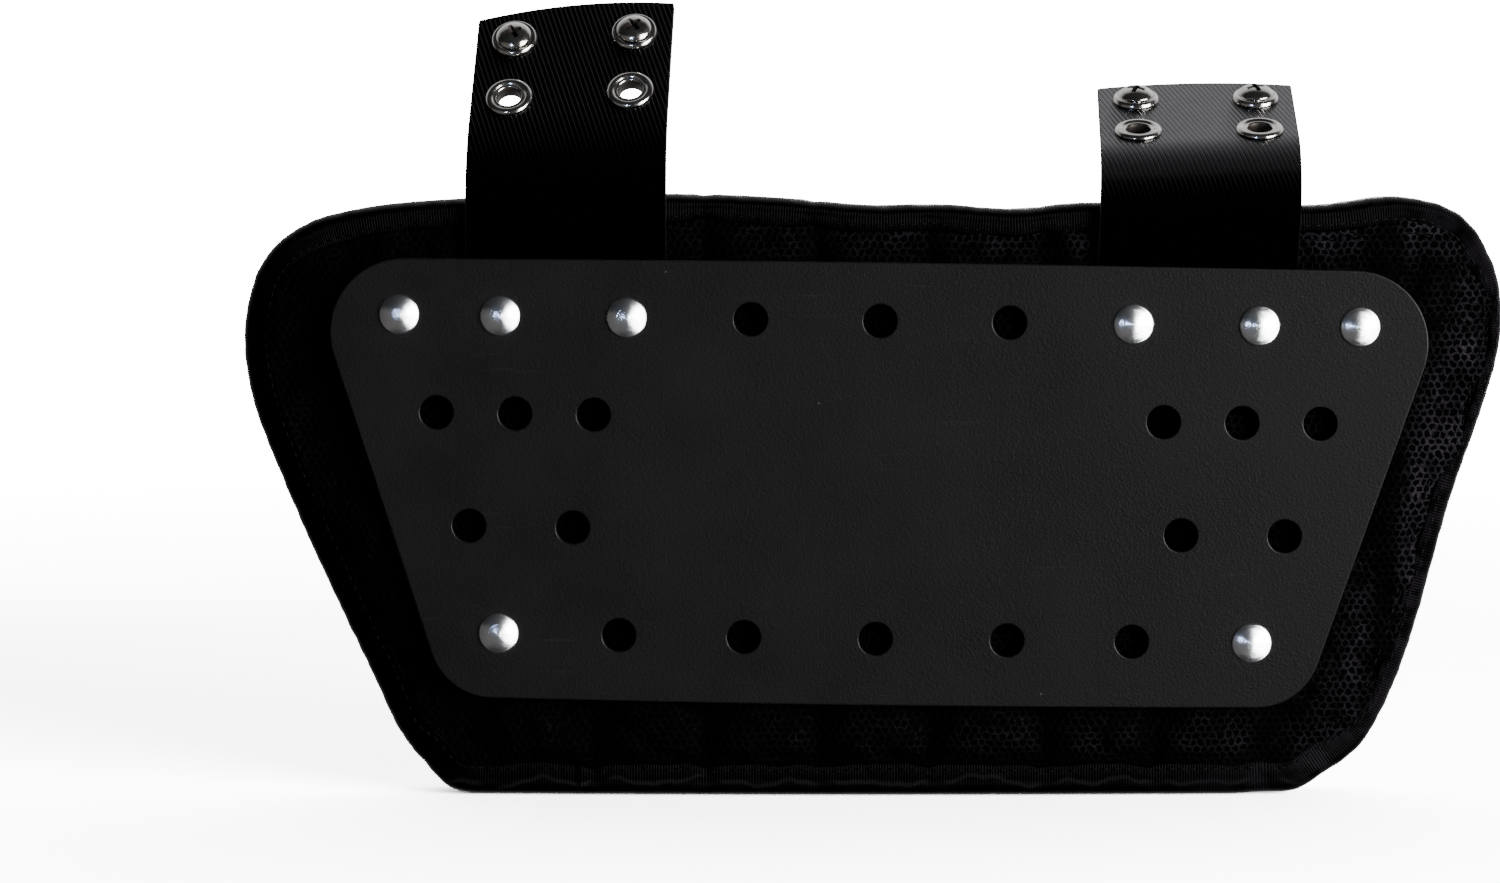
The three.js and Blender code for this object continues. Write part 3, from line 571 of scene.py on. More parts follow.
def tape_material():
    """Binding tape with fine ribs across it, with painted light, shade and a painted highlight in its
    colour.
    """
    n = Nodes("binding_tape")
    along, across, _ = n.parts(n.place(uv=True))
    rib = n.wave(along, TAPE_RIB_PITCH)
    place = n.place()
    weave = n.noise(n.joined(n.times(along, 3.0), n.times(across, 0.5)), 0.5, 2.0)
    crease = n.noise(place, 5.0, 3.0)
    height = n.plus(rib, n.plus(n.times(weave, 0.4), n.times(crease, 0.8)))
    # The colour is darker in the creases' hollows and paler on the ribs: painted shade and painted
    # highlight.
    shade = n.times(n.ramp(crease, 0.3, 0.5), n.plus(n.times(rib, 0.85), 0.15))
    where_x, where_y, where_z = n.parts(place)
    # Painted light: paler up the right side, where the light falls, and near black elsewhere.
    aside = n.minus(where_x, n.times(where_z, 0.34))
    patch = n.ramp(n.noise(place, 10.0, 2.0), 0.42, 0.56, 0.2, 1.0)
    shade = n.times(n.times(shade, patch), n.ramp(aside, 85.0, 128.0, 0.05, 1.0))
    # Painted highlight: a thin pale wavy line along the bottom tape, broken at each channel.
    wave = n.noise(n.joined(where_x, 0.0), 21.0, 2.0)
    above = n.minus(where_z, n.plus(n.times(wave, 14.0), -2.2))
    ridge_highlight = n.times(n.ramp(n.math("ABSOLUTE", above), 1.0, 0.25), n.ramp(channel_wave(n, where_x), 0.1, 0.4))
    ridge_highlight = n.times(ridge_highlight, n.ramp(where_z, 9.0, 8.0, 0.0, 0.7))
    shade = n.most(shade, ridge_highlight)
    # The back is painted paler, without the front's painted shade.
    shade = n.most(shade, n.times(n.ramp(where_y, -5.0, -1.5), n.ramp(rib, 0.0, 1.0, 0.3, 0.9)))
    colour = n.blend(shade, (0.0001, 0.0001, 0.00013), (0.0125, 0.0105, 0.014))
    rough = n.ramp(crease, 0.3, 0.7, 0.34, 0.44)
    normal = n.bump(height, 0.16, 0.9)
    return n.finish(colour, rough, normal, specular=0.03)


def plate_material(edge=False):
    """Moulded plastic with a pebble grain, faint scratches and specks."""
    n = Nodes("plate_edge" if edge else "plate_plastic")
    place = n.place()
    x, _, z = n.parts(place)
    grain = n.cells(place, 0.7, "SMOOTH_F1")
    fine = n.noise(place, 0.5, 3.0, 0.6)
    height = n.plus(n.times(grain, 0.8), n.times(fine, 0.6))
    cloud = n.noise(place, 34.0, 4.0, 0.6)
    colour = n.blend(n.ramp(cloud, 0.3, 0.75), (0.0102, 0.0098, 0.0108), (0.0145, 0.0139, 0.0151))
    long_streak = n.noise(n.joined(n.times(n.plus(x, n.times(z, 0.45)), 0.05), z), 1.6, 2.0)
    scratch = n.times(n.ramp(long_streak, 0.66, 0.72), n.ramp(n.noise(place, 21.0, 2.0), 0.52, 0.64))
    speck = n.ramp(n.cells(place, 16.0), 0.03, 0.018)
    speck = n.times(speck, n.ramp(n.noise(place, 60.0), 0.5, 0.56))
    colour = n.blend(n.times(scratch, 0.14), colour, (0.06, 0.06, 0.062))
    colour = n.blend(n.times(speck, 0.4), colour, (0.2, 0.2, 0.2))
    rough = n.plus(n.ramp(cloud, 0.3, 0.7, 0.5, 0.62), n.times(scratch, -0.08))
    if edge:
        colour = n.blend(n.ramp(fine, 0.4, 0.7), (0.006, 0.006, 0.0065), (0.014, 0.014, 0.015))
        return n.finish(colour, 0.36, n.bump(n.noise(place, 0.9, 3.0), 0.08, 0.5), specular=0.3)
    normal = n.bump(height, 0.16, 0.9)
    return n.finish(colour, rough, normal, specular=0.13)


def strap_material(edge=False):
    """Satin plastic webbing with fine diagonal ribs."""
    n = Nodes("strap_edge_highlight" if edge else "strap_plastic")
    x, v, _ = n.parts(n.place(uv=True))
    place = n.place()
    if edge:
        # The cut edges are painted far paler than the faces: a painted highlight along them.
        colour = n.blend(n.noise(place, 2.0, 3.0), (0.02, 0.02, 0.022), (0.075, 0.075, 0.08))
        return n.finish(colour, 0.45, n.bump(n.noise(place, 0.7, 2.0), 0.05, 0.5), specular=0.2)
    slant = n.plus(n.times(x, 0.95), n.times(v, 0.3))
    rib = n.ramp(n.wave(slant, STRAP_RIB_PITCH), 0.0, 0.55)
    height = n.plus(rib, n.times(n.noise(place, 2.2, 2.0), 0.1))
    cloud = n.noise(place, 12.0, 3.0)
    colour = n.blend(n.ramp(cloud, 0.3, 0.7), (0.0002, 0.0002, 0.0003), (0.0006, 0.0006, 0.0008))
    rough = n.minus(n.ramp(n.noise(place, 3.0, 4.0), 0.3, 0.7, 0.42, 0.48), n.times(rib, 0.22))
    normal = n.bump(height, 0.09, 1.0)
    return n.finish(colour, rough, normal, specular=0.19)


def rivet_material():
    """Turned aluminium with faint rings and fine scratches."""
    n = Nodes("rivet_aluminium")
    place = n.place()
    ring = n.noise(n.joined(n.length(n.place(uv=True)), 0.0), 0.5, 2.0, 0.6)
    fine = n.noise(place, 0.35, 3.0, 0.6)
    colour = n.blend(n.noise(place, 2.5, 3.0), (0.62, 0.64, 0.67), (0.86, 0.87, 0.88))
    rough = n.ramp(fine, 0.3, 0.7, 0.15, 0.24)
    height = n.plus(ring, n.times(fine, 0.15))
    return n.finish(colour, rough, n.bump(height, 0.13, 1.0), metallic=1.0)


def nickel_material():
    """Bright nickel plate with small dents and stains."""
    n = Nodes("fitting_nickel")
    place = n.place()
    stain = n.noise(place, 3.0, 4.0, 0.6)
    colour = n.blend(n.ramp(stain, 0.35, 0.7), (0.6, 0.575, 0.54), (0.86, 0.84, 0.81))
    rough = n.ramp(stain, 0.3, 0.7, 0.12, 0.2)
    return n.finish(colour, rough, n.bump(n.noise(place, 0.8, 2.0), 0.015, 0.5), metallic=1.0)


def recess_material():
    """Dark dull metal that paints shade into a screw's cross recess and an eyelet's bore."""
    n = Nodes("screw_recess")
    patchy_shade = n.noise(n.place(), 0.6, 3.0)
    return n.finish(n.blend(patchy_shade, (0.01, 0.008, 0.007), (0.06, 0.048, 0.04)), 0.5, metallic=0.6)


def thread_material():
    n = Nodes("stitch_thread")
    twist = n.noise(n.place(), 0.3, 2.0)
    where_x, _, _ = n.parts(n.place())
    # Painted light: the thread is painted darker to the left, where less light falls.
    painted_light = n.times(twist, n.ramp(where_x, 60.0, 150.0, 0.06, 1.0))
    colour = n.blend(painted_light, (0.0003, 0.0003, 0.0004), (0.016, 0.0145, 0.017))
    return n.finish(colour, 0.55, n.bump(twist, 0.06, 0.6), specular=0.12)


def floor_material():
    """A pale floor that fades into the studio and is shown brighter than it lights the object."""
    n = Nodes("pale_floor")
    place = n.place()
    cloud = n.noise(place, 60.0, 3.0)
    dim = n.node("ShaderNodeBsdfDiffuse")
    dim.inputs["Color"].default_value = (0.5, 0.49, 0.485, 1)
    shown = n.node("ShaderNodeBsdfDiffuse")
    n.feed(n.blend(cloud, (22.0, 22.0, 22.8), (23.0, 23.0, 23.6)), shown.inputs["Color"])
    pale = n.node("ShaderNodeEmission")
    pale.inputs["Strength"].default_value = 20
    fade = n.mixed(n.ramp(n.length(place), 500.0, 1600.0), shown.outputs[0], pale.outputs[0])
    ray = n.node("ShaderNodeLightPath")
    mix = n.mixed(ray.outputs["Is Camera Ray"], dim.outputs[0], fade)
    n.tree.nodes.remove(n.shader)
    n.feed(mix, n.tree.nodes["Material Output"].inputs["Surface"])
    return n.material


MESH = mesh_material()
TAPE = tape_material()
PLASTIC = plate_material()
PLASTIC_EDGE = plate_material(edge=True)
STRAP = strap_material()
STRAP_EDGE_HIGHLIGHT = strap_material(edge=True)
ALUMINIUM = rivet_material()
NICKEL = nickel_material()
RECESS = recess_material()
THREAD = thread_material()


# Pad

def rim_growth(x, z):
    """How far the soft rim bulges out past the solid's rim."""
    low = smoothstep(115, 40, z)
    right = smoothstep(110, 150, x)
    left = smoothstep(-90, -130, x)
    return 0.9 + left * 0.8 * low + right * (0.7 + 0.9 * low + 0.6 * smoothstep(40, 15, z))


def outline_points(samples=26):
    """The pad's outline, smooth and closed, flat where it stands."""
    corners = [Vector((a * PAD_WIDTH, u * PAD_HEIGHT)) for a, u in PAD_OUTLINE]
    count = len(corners)
    points = []
    for i in range(count):
        p0, p1, p2, p3 = (corners[(i + k) % count] for k in (-1, 0, 1, 2))
        d0, d1, d2 = (math.sqrt((b - a).length) for a, b in ((p0, p1), (p1, p2), (p2, p3)))
        t1 = ((p1 - p0) / d0 - (p2 - p0) / (d0 + d1) + (p2 - p1) / d1) * d1
        t2 = ((p2 - p1) / d1 - (p3 - p1) / (d1 + d2) + (p3 - p2) / d2) * d1
        for step in range(samples):
            t = step / samples
            p = (p1 + t1 * t + (-3 * p1 + 3 * p2 - 2 * t1 - t2) * t * t
                 + (2 * p1 - 2 * p2 + t1 + t2) * t ** 3)
            points.append((p.x, max(p.y, 0)))
    points = np.array(points)
    growth = np.array([rim_growth(x, z) for x, z in points])
    points += ring_normals(points) * growth[:, None]
    points[:, 1] = np.maximum(points[:, 1], 0)
    return points


def even_run(points, count, closed=True):
    """The same run resampled at equal steps, with its length."""
    pts = np.vstack([points, points[:1]]) if closed else np.asarray(points)
    steps = np.concatenate([[0], np.cumsum(np.linalg.norm(np.diff(pts, axis=0), axis=1))])
    wanted = np.linspace(0, steps[-1], count + 1)[:-1] if closed else np.linspace(0, steps[-1], count)
    return np.stack([np.interp(wanted, steps, pts[:, k]) for k in range(2)], axis=1), steps[-1]


OUTLINE = outline_points()


def column_crossing(x, top):
    found = []
    for a, b in zip(OUTLINE, np.roll(OUTLINE, -1, axis=0)):
        if (a[1] > PAD_HEIGHT / 2) == top and (a[0] - x) * (b[0] - x) <= 0 and a[0] != b[0]:
            found.append(a + (b - a) * (x - a[0]) / (b[0] - a[0]))
    return found[0]


def end_run(start, end, steps):
    """Evenly spaced points of the outline between two places, going round one end."""
    gap_a = np.linalg.norm(OUTLINE - start, axis=1).argmin()
    gap_b = np.linalg.norm(OUTLINE - end, axis=1).argmin()
    last = gap_b if gap_b > gap_a else gap_b + len(OUTLINE)
    middle = [OUTLINE[i % len(OUTLINE)] for i in range(gap_a + 1, last)]
    run, _ = even_run(np.array([start, *middle, end]), steps + 1, closed=False)
    return list(run[1:-1])


COLUMNS_PER_CHANNEL = 12
END_STEPS = 84


def pad_stations():
    """Places round the rim, each with the point of the middle line that it looks to."""
    columns = np.linspace(-HALF_QUILT, HALF_QUILT, CHANNEL_COUNT * COLUMNS_PER_CHANNEL + 1)
    bottom = [column_crossing(x, False) for x in columns]
    top = [column_crossing(x, True) for x in columns]
    last = len(columns) - 1
    rim = [(p, i) for i, p in enumerate(bottom)]
    rim += [(p, last) for p in end_run(bottom[-1], top[-1], END_STEPS)]
    rim += [(p, last - i) for i, p in enumerate(reversed(top))]
    rim += [(p, 0) for p in end_run(top[0], bottom[0], END_STEPS)]
    return rim, columns


def tape_reach(x, z):
    """How far the worn tape reaches in from the rim: least at the right, most under the foot."""
    reach = 8.2 + 2.0 * (1 - smoothstep(4, 22, z)) + 0.9 * smoothstep(-130, -165, x)
    upper = smoothstep(150, 168, x) * smoothstep(90, 112, z) * (1 - smoothstep(150, 166, z))
    lower = smoothstep(120, 145, x) * smoothstep(12, 30, z) * (1 - smoothstep(90, 112, z))
    return reach - 4.1 * upper - 1.7 * lower


def channel_share(x):
    return 1 - abs(math.cos(math.pi * x / CHANNEL_PITCH)) if abs(x) < HALF_QUILT else 0


# Dents and folds of the worn pad's front: place, half widths, turn in degrees and depth.
PAD_DENTS = [
    {"x": 163, "z": 158, "wide": 3.2, "tall": 15, "turn": -8, "deep": 2.6},
    {"x": 150, "z": 173, "wide": 12, "tall": 3, "turn": 8, "deep": 1.2},
    {"x": -160, "z": 166, "wide": 12, "tall": 3.2, "turn": -25, "deep": 1.4},
    {"x": -170, "z": 140, "wide": 3.5, "tall": 16, "turn": 4, "deep": 1.6},
    {"x": 172, "z": 112, "wide": 3.0, "tall": 13, "turn": 14, "deep": 1.5},
    {"x": 150, "z": 52, "wide": 3.0, "tall": 13, "turn": 20, "deep": 1.2},
    {"x": -152, "z": 66, "wide": 3.0, "tall": 14, "turn": -22, "deep": 1.2},
]


def dent_depth(x, z):
    total = 0
    for dent in PAD_DENTS:
        turn = math.radians(dent["turn"])
        dx, dz = x - dent["x"], z - dent["z"]
        u = (dx * math.cos(turn) + dz * math.sin(turn)) / dent["wide"]
        v = (-dx * math.sin(turn) + dz * math.cos(turn)) / dent["tall"]
        total += dent["deep"] * math.exp(-(u * u + v * v))
    return total


def plate_local(x, z):
    """A place of the pad's front in the plate's own frame."""
    dx, dz = x - PLATE_SHIFT, z - PLATE_CENTRE_Z
    c, s = math.cos(PLATE_TURN), math.sin(PLATE_TURN)
    return dx * c - dz * s, dx * s + dz * c


def under_plate(x, z, margin=0.0):
    """Whether the plate covers a place, with a margin round it."""
    px, pz = plate_local(x, z)
    half = PLATE_HEIGHT / 2 + margin
    if abs(pz) > half:
        return False
    share = (pz + PLATE_HEIGHT / 2) / PLATE_HEIGHT
    width = PLATE_BOTTOM_WIDTH + (PLATE_TOP_WIDTH - PLATE_BOTTOM_WIDTH) * share
    return abs(px) < width / 2 + margin


def strap_cover(x, z):
    """How much a strap presses on the pad at a place, from 0 to 1."""
    px, pz = plate_local(x, z)
    edge = STRAP_WIDTH / 2 + 1.5
    best = 0
    for strap in STRAPS:
        off = abs(px - strap["sign"] * STRAP_OFFSET)
        best = max(best, 1 - smoothstep(edge, edge + 6, off))
    return best * smoothstep(RIVET_ROW_Z - 2 * STRAP_TUCK, RIVET_ROW_Z - STRAP_TUCK, pz)


STRAP_BED = STRAP_SEAT + STRAP_THICKNESS
CHANNEL_DEEP = 4.2
START_LOWER = 1.3


def pad_depth(x, z, distance, face, lower, seam):
    """The pad's surface before it is filled, as a distance in front of or behind its middle."""
    rise = min(max((distance - seam) / CROWN_WIDTH, 0), 1)
    crown = math.sqrt(1 - (1 - rise) ** 2)
    crest = PAD_FRONT if face < 0 else PAD_BACK
    share = channel_share(x)
    hollow = (CHANNEL_DEEP if face > 0 else CHANNEL_DEEP - 1) * share ** 1.6
    bed = STRAP_BED * strap_cover(x, z) if face < 0 else 0
    height = crest - lower - rim_depth(face) - max(hollow, bed)
    return rim_depth(face) + crown * height


def build_pad():
    rim, columns = pad_stations()
    count = len(rim)
    pts = np.array([p for p, _ in rim])
    normals = -ring_normals(pts)
    hubs = np.array([(columns[h], HUB_HEIGHT) for _, h in rim])
    spokes = hubs - pts
    lengths = np.linalg.norm(spokes, axis=1)
    spokes /= lengths[:, None]
    slants = 1 / np.maximum((spokes * normals).sum(axis=1), 0.35)
    seams = np.array([tape_reach(x, z) - 1.2 for x, z in pts])
    near = [TAPE_THICKNESS + 0.3 - TAPE_WIDTH, -4.0, -2.0, 0.0, 1.4]
    near += [1.4 + step for step in (1.2, 2.6, 4.2, 6.0, 8.0, 10.4, 13.2)]
    inner_steps = 17
    points, info, rows = [], [], []

    def add_row(face, kind, value):
        row = []
        for i in range(count):
            if kind == "near":
                distance = max(seams[i] + value, TAPE_THICKNESS + 0.3 + 0.5 * (near.index(value)))
                flat = pts[i] + spokes[i] * distance * slants[i]
            else:
                edge = pts[i] + spokes[i] * (seams[i] + near[-1]) * slants[i]
                flat = edge + (hubs[i] - edge) * value
                distance = seams[i] + near[-1] + value * 60
            row.append(len(points))
            points.append([flat[0], 0.0, flat[1]])
            info.append((face, distance, seams[i]))
        rows.append(row)

    def hub_row(face):
        first = len(points)
        for x in columns:
            points.append([x, 0.0, HUB_HEIGHT])
            info.append((face, 99.0, TAPE_WIDTH))
        rows.append([first + h for _, h in rim])

    hub_row(-1)
    for step in range(inner_steps - 1, 0, -1):
        add_row(-1, "far", step / inner_steps)
    for value in reversed(near):
        add_row(-1, "near", value)
    for value in near:
        add_row(1, "near", value)
    for step in range(1, inner_steps):
        add_row(1, "far", step / inner_steps)
    hub_row(1)
    goal = []
    held = []
    for point, (face, distance, seam) in zip(points, info):
        x, _, z = point
        if distance <= TAPE_THICKNESS + 0.31:
            depth = rim_depth(face) - 2.2
        elif distance <= seam:
            depth = rim_depth(face) - 0.3
        else:
            depth = pad_depth(x, z, distance, face, START_LOWER, seam)
        point[1] = face * depth + bow_depth(x)
        goal.append(pad_depth(x, z, distance, face, 0.0, seam))
        pinned = 1.0 if distance <= seam + 0.01 else 0.0
        if channel_share(x) > 0.96 and distance > seam + 3:
            pinned = 1.0
        if face < 0 and (under_plate(x, z, -4) or strap_cover(x, z) > 0.05):
            pinned = 1.0
        held.append(pinned)
    faces = bands(rows)
    placed = [ROW @ Vector(p) for p in points]
    pad = mesh_object("quilted_pad", placed, faces, MESH)
    outward(pad)
    return pad, np.array(info), np.array(held), np.array(goal)


def filled(obj, held, pressure, frames, cap):
    """Fills a piece with air pressure as cloth, held where it is sewn or pressed, and keeps the shape."""
    rest = np.array([tuple(v.co) for v in obj.data.vertices])
    group = obj.vertex_groups.new(name="held")
    for i, weight in enumerate(held):
        if weight > 0:
            group.add([i], float(weight), "REPLACE")
    cloth = obj.modifiers.new("fill", "CLOTH")
    settings = cloth.settings
    settings.quality = 6
    settings.mass = 0.25
    settings.tension_stiffness = 12
    settings.compression_stiffness = 8
    settings.shear_stiffness = 5
    settings.bending_stiffness = 0.2
    settings.use_pressure = True
    settings.uniform_pressure_force = pressure
    settings.shrink_min = -0.06
    settings.shrink_max = -0.06
    settings.vertex_group_mass = "held"
    settings.effector_weights.gravity = 0
    cloth.collision_settings.use_collision = False
    cloth.point_cache.frame_start = 1
    cloth.point_cache.frame_end = frames
    scene = bpy.context.scene
    for number in range(1, frames + 1):
        scene.frame_set(number)
    shaped = obj.evaluated_get(bpy.context.evaluated_depsgraph_get()).to_mesh()
    moved = np.array([tuple(v.co) for v in shaped.vertices])
    obj.modifiers.remove(cloth)
    scene.frame_set(1)
    step = moved - rest
    size = np.linalg.norm(step, axis=1)
    limit = np.where(size > cap * MM, cap * MM / np.maximum(size, 1e-9), 1.0)
    final = rest + step * limit[:, None]
    obj.data.vertices.foreach_set("co", final.astype(np.float32).ravel())
    obj.vertex_groups.remove(group)
    obj.data.update()
    return size.max() / MM


pad, pad_info, pad_held, pad_goal = build_pad()
print("pad moved by", round(filled(pad, pad_held, 4.0, 20, 4.0), 2), "mm")


def settle_pad():
    """Keeps the filled pad inside its space, and adds the dents of wear."""
    coords = [list(v.co) for v in pad.data.vertices]
    for point, (face, distance, seam), goal in zip(coords, pad_info, pad_goal):
        x = point[0] / MM - CENTRE[0]
        z = point[2] / MM
        if distance <= seam + 1:
            continue
        depth = face * (point[1] / MM - CENTRE[1] - bow_depth(x))
        ripple = 0.5 * noise.noise(Vector((x / 7, z / 7, face * 5.0)))
        ripple *= smoothstep(seam + 1, seam + 7, distance)
        if face < 0:
            depth -= dent_depth(x, z)
        depth = min(depth + ripple, goal + 0.8)
        if face < 0 and under_plate(x, z, 3):
            depth = min(depth, PAD_FRONT - 0.1)
        depth = max(depth, rim_depth(face) - 1.0)
        point[1] = (face * depth + bow_depth(x) + CENTRE[1]) * MM
    pad.data.vertices.foreach_set("co", [c for p in coords for c in p])
    pad.data.update()


settle_pad()
smooth = pad.modifiers.new("smooth", "SUBSURF")
smooth.levels = 1
smooth.render_levels = 1
taken(pad, "pad_mesh", "pad")


# Binding

TAPE_STEPS = 900
TAPE_FRONT = RIM_FRONT + GAP + TAPE_THICKNESS
TAPE_BACK = RIM_BACK + GAP + TAPE_THICKNESS
TAPE_MIDDLE = (TAPE_BACK - TAPE_FRONT) / 2
RIM_OUTER = (TAPE_BACK + TAPE_FRONT) / 2


def tape_section():
    """The outer side of the folded tape from lip to lip, as (distance in from the rim, depth)."""
    power = 3.2
    reach = 4.2
    outside = []
    for step in range(25):
        angle = math.pi * (step / 24 - 0.5)
        c, s = abs(math.cos(angle)), abs(math.sin(angle))
        distance = reach * (1 - c ** (2 / power))
        depth = math.copysign(RIM_OUTER * s ** (2 / power), angle)
        outside.append((distance, depth))
    front = [(TAPE_WIDTH + 0.3 - 0.9 * k, -RIM_OUTER + 0.25 - 0.25 * math.sin(k * 0.4)) for k in range(7)]
    back = [(d, -y) for d, y in reversed(front)]
    return front + outside + back


def build_tape():
    rim, length = even_run(OUTLINE, TAPE_STEPS)
    normals = -ring_normals(rim)
    for _ in range(3):
        normals = (np.roll(normals, 1, axis=0) + normals * 2 + np.roll(normals, -1, axis=0)) / 4
        normals /= np.linalg.norm(normals, axis=1)[:, None]
    reaches = [tape_reach(x, z) for x, z in rim]
    run = tape_section()
    inner = [(d + (TAPE_THICKNESS if abs(y) < RIM_OUTER * 0.9 else 0.0), y * (RIM_OUTER - 0.9) / RIM_OUTER)
             for d, y in run]
    section = run + list(reversed(inner))
    travel = [0.0]
    for a, b in zip(section, section[1:]):
        travel.append(travel[-1] + math.hypot(b[0] - a[0], b[1] - a[1]))
    points, uv, rows = [], [], []
    for k, (distance, depth) in enumerate(section):
        row = []
        outer = k < len(run)
        for i in range(TAPE_STEPS):
            s = length * i / TAPE_STEPS
            x0, z0 = rim[i]
            share = channel_share(x0)
            drawn = (reaches[i] - 1.5) / (TAPE_WIDTH - 1.5)
            lip = smoothstep(3.0, TAPE_WIDTH, distance)
            gather = share ** 3
            foot = 1 - smoothstep(1.5, 5.0, z0)
            side = 1 if depth > 0 else -1
            wave = noise.noise(Vector((s / 9.0, side * 3.1, 0.7)))
            fold = noise.noise(Vector((s / 3.6, distance / 16 + side * 2, 4.2)))
            d = min(distance, 1.5) + max(distance - 1.5, 0) * drawn - lip * (1.3 * gather + 0.9 * wave)
            y = depth
            if outer:
                pinch = 0.55 * gather * smoothstep(0.5, 5, distance)
                y -= math.copysign(pinch + 0.5 * max(fold, 0) * lip, depth)
                d += (0.35 * gather + 0.25 * fold * (1 - lip)) * (1 - foot)
            if distance < 2.0:
                d = max(d, 0.02)
            flat = rim[i] + normals[i] * d
            row.append(len(points))
            points.append((flat[0], y + TAPE_MIDDLE + bow_depth(flat[0]), max(flat[1], 0.0)))
            uv.append((s, travel[k]))
        rows.append(row)
    rows.append(rows[0])
    placed = [ROW @ Vector(p) for p in points]
    tape = mesh_object("folded_tape", placed, bands(rows), TAPE, uv)
    outward(tape)
    taken(tape, "edge_tape", "edge_binding")
    return rim, normals, length


tape_rim, tape_normals, tape_length = build_tape()


def stitches(name, places, length, radius):
    """Short rounded stitches, each from its middle, its direction and the way that it faces."""
    points, faces = [], []
    sides, spans = 6, 5
    for middle, along, out in places:
        across = along.cross(out).normalized()
        rows = []
        for j in range(spans + 1):
            t = j / spans * 2 - 1
            bulge = math.sqrt(max(1 - t * t, 0.0))
            centre = middle + along * (t * length / 2) + out * (radius * (0.9 * bulge - 0.5))
            size = radius * (0.35 + 0.65 * bulge)
            row = []
            for i in range(sides):
                angle = 2 * math.pi * i / sides
                row.append(len(points))
                points.append(centre + across * size * math.cos(angle) + out * size * math.sin(angle))
            rows.append(row)
        faces += bands(rows)
        faces.append(list(reversed(rows[0])))
        faces.append(rows[-1])
    obj = mesh_object(name, points, faces, THREAD)
    outward(obj)
    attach(obj, "root")


def tape_stitches():
    places = []
    pitch = 3.4
    count = int(tape_length / pitch)
    for k in range(count):
        i = int(k * TAPE_STEPS / count)
        along2 = tape_rim[(i + 1) % TAPE_STEPS] - tape_rim[i - 1]
        along = Vector((along2[0], 0, along2[1])).normalized()
        for face in (-1, 1):
            s = tape_length * i / TAPE_STEPS
            share = channel_share(tape_rim[i][0]) ** 3
            wave = noise.noise(Vector((s / 9.0, face * 3.1, 0.7)))
            d = tape_reach(*tape_rim[i]) - 1.7 - 1.3 * share - 0.8 * wave
            flat = tape_rim[i] + tape_normals[i] * d
            depth = RIM_OUTER - 0.1 - 0.45 * share
            middle = ROW @ Vector((flat[0], face * depth + TAPE_MIDDLE + bow_depth(flat[0]), flat[1]))
            places.append((middle, along, Vector((0, face, 0))))
            if face < 0 and tape_rim[i][0] > 105 and tape_rim[i][1] > 10:
                for further, deep in ((0.9, -0.3), (2.4, 1.6)):
                    flat = tape_rim[i] + tape_normals[i] * (tape_reach(*tape_rim[i]) + further - 0.5 * wave)
                    at = -(RIM_FRONT + 0.4 + deep) + bow_depth(flat[0])
                    places.append((ROW @ Vector((flat[0], at, flat[1])), along, Vector((0, face, 0))))
    stitches("tape_stitches", places, 2.4, 0.28)


tape_stitches()


# Plate

def rounded_polygon(corners, steps):
    """The corners of a polygon, each rounded by its radius."""
    points = []
    count = len(corners)
    for i, (at, radius) in enumerate(corners):
        at = Vector(at)
        before = (Vector(corners[i - 1][0]) - at).normalized()
        after = (Vector(corners[(i + 1) % count][0]) - at).normalized()
        half = math.acos(before.dot(after)) / 2
        middle = (before + after).normalized()
        centre = at + middle * (radius / math.sin(half))
        sweep = math.pi - 2 * half
        start = math.atan2(-middle.y, -middle.x) - sweep / 2
        for step in range(steps + 1):
            angle = start + sweep * step / steps
            points.append((centre.x + radius * math.cos(angle), centre.y + radius * math.sin(angle)))
    return points


def plate_place(x, depth, z):
    wobble = 0.25 * noise.noise(Vector((x / 70, z / 70, 3.0)))
    return PLATE @ Vector((x, depth + bow_depth(x) + wobble, z))


def vent_places():
    for row in PLATE_ROWS:
        for share in row["vents"]:
            for sign in ((1,) if share == 0 else (-1, 1)):
                yield sign * share * PLATE_TOP_WIDTH, row["up"] * PLATE_HEIGHT


def build_plate():
    top = PLATE_HEIGHT / 2
    outline = rounded_polygon([
        ((-PLATE_BOTTOM_WIDTH / 2, -top), PLATE_BOTTOM_RADIUS),
        ((PLATE_BOTTOM_WIDTH / 2, -top), PLATE_BOTTOM_RADIUS),
        ((PLATE_TOP_WIDTH / 2, top), PLATE_TOP_RADIUS),
        ((-PLATE_TOP_WIDTH / 2, top), PLATE_TOP_RADIUS),
    ], 16)
    outline, _ = even_run(np.array(outline), 460)
    reach = outline[:, 0].max()
    bulge = PLATE_BULGE * (1 - (outline[:, 0] / reach) ** 2) * np.sign(outline[:, 1])
    outline[:, 1] += bulge * np.minimum(np.abs(outline[:, 1]) / top, 1) ** 4
    holes = [circle(x, z, VENT_DIAMETER / 2, 40) for x, z in vent_places()]
    plate = sheet_body("moulded_plate", outline, holes, PLATE_THICKNESS, 0.45, (5, 5), plate_place,
                       [PLASTIC, PLASTIC_EDGE], hole_material=1)
    taken(plate, "plate", "back_plate")


build_plate()


# Rivets

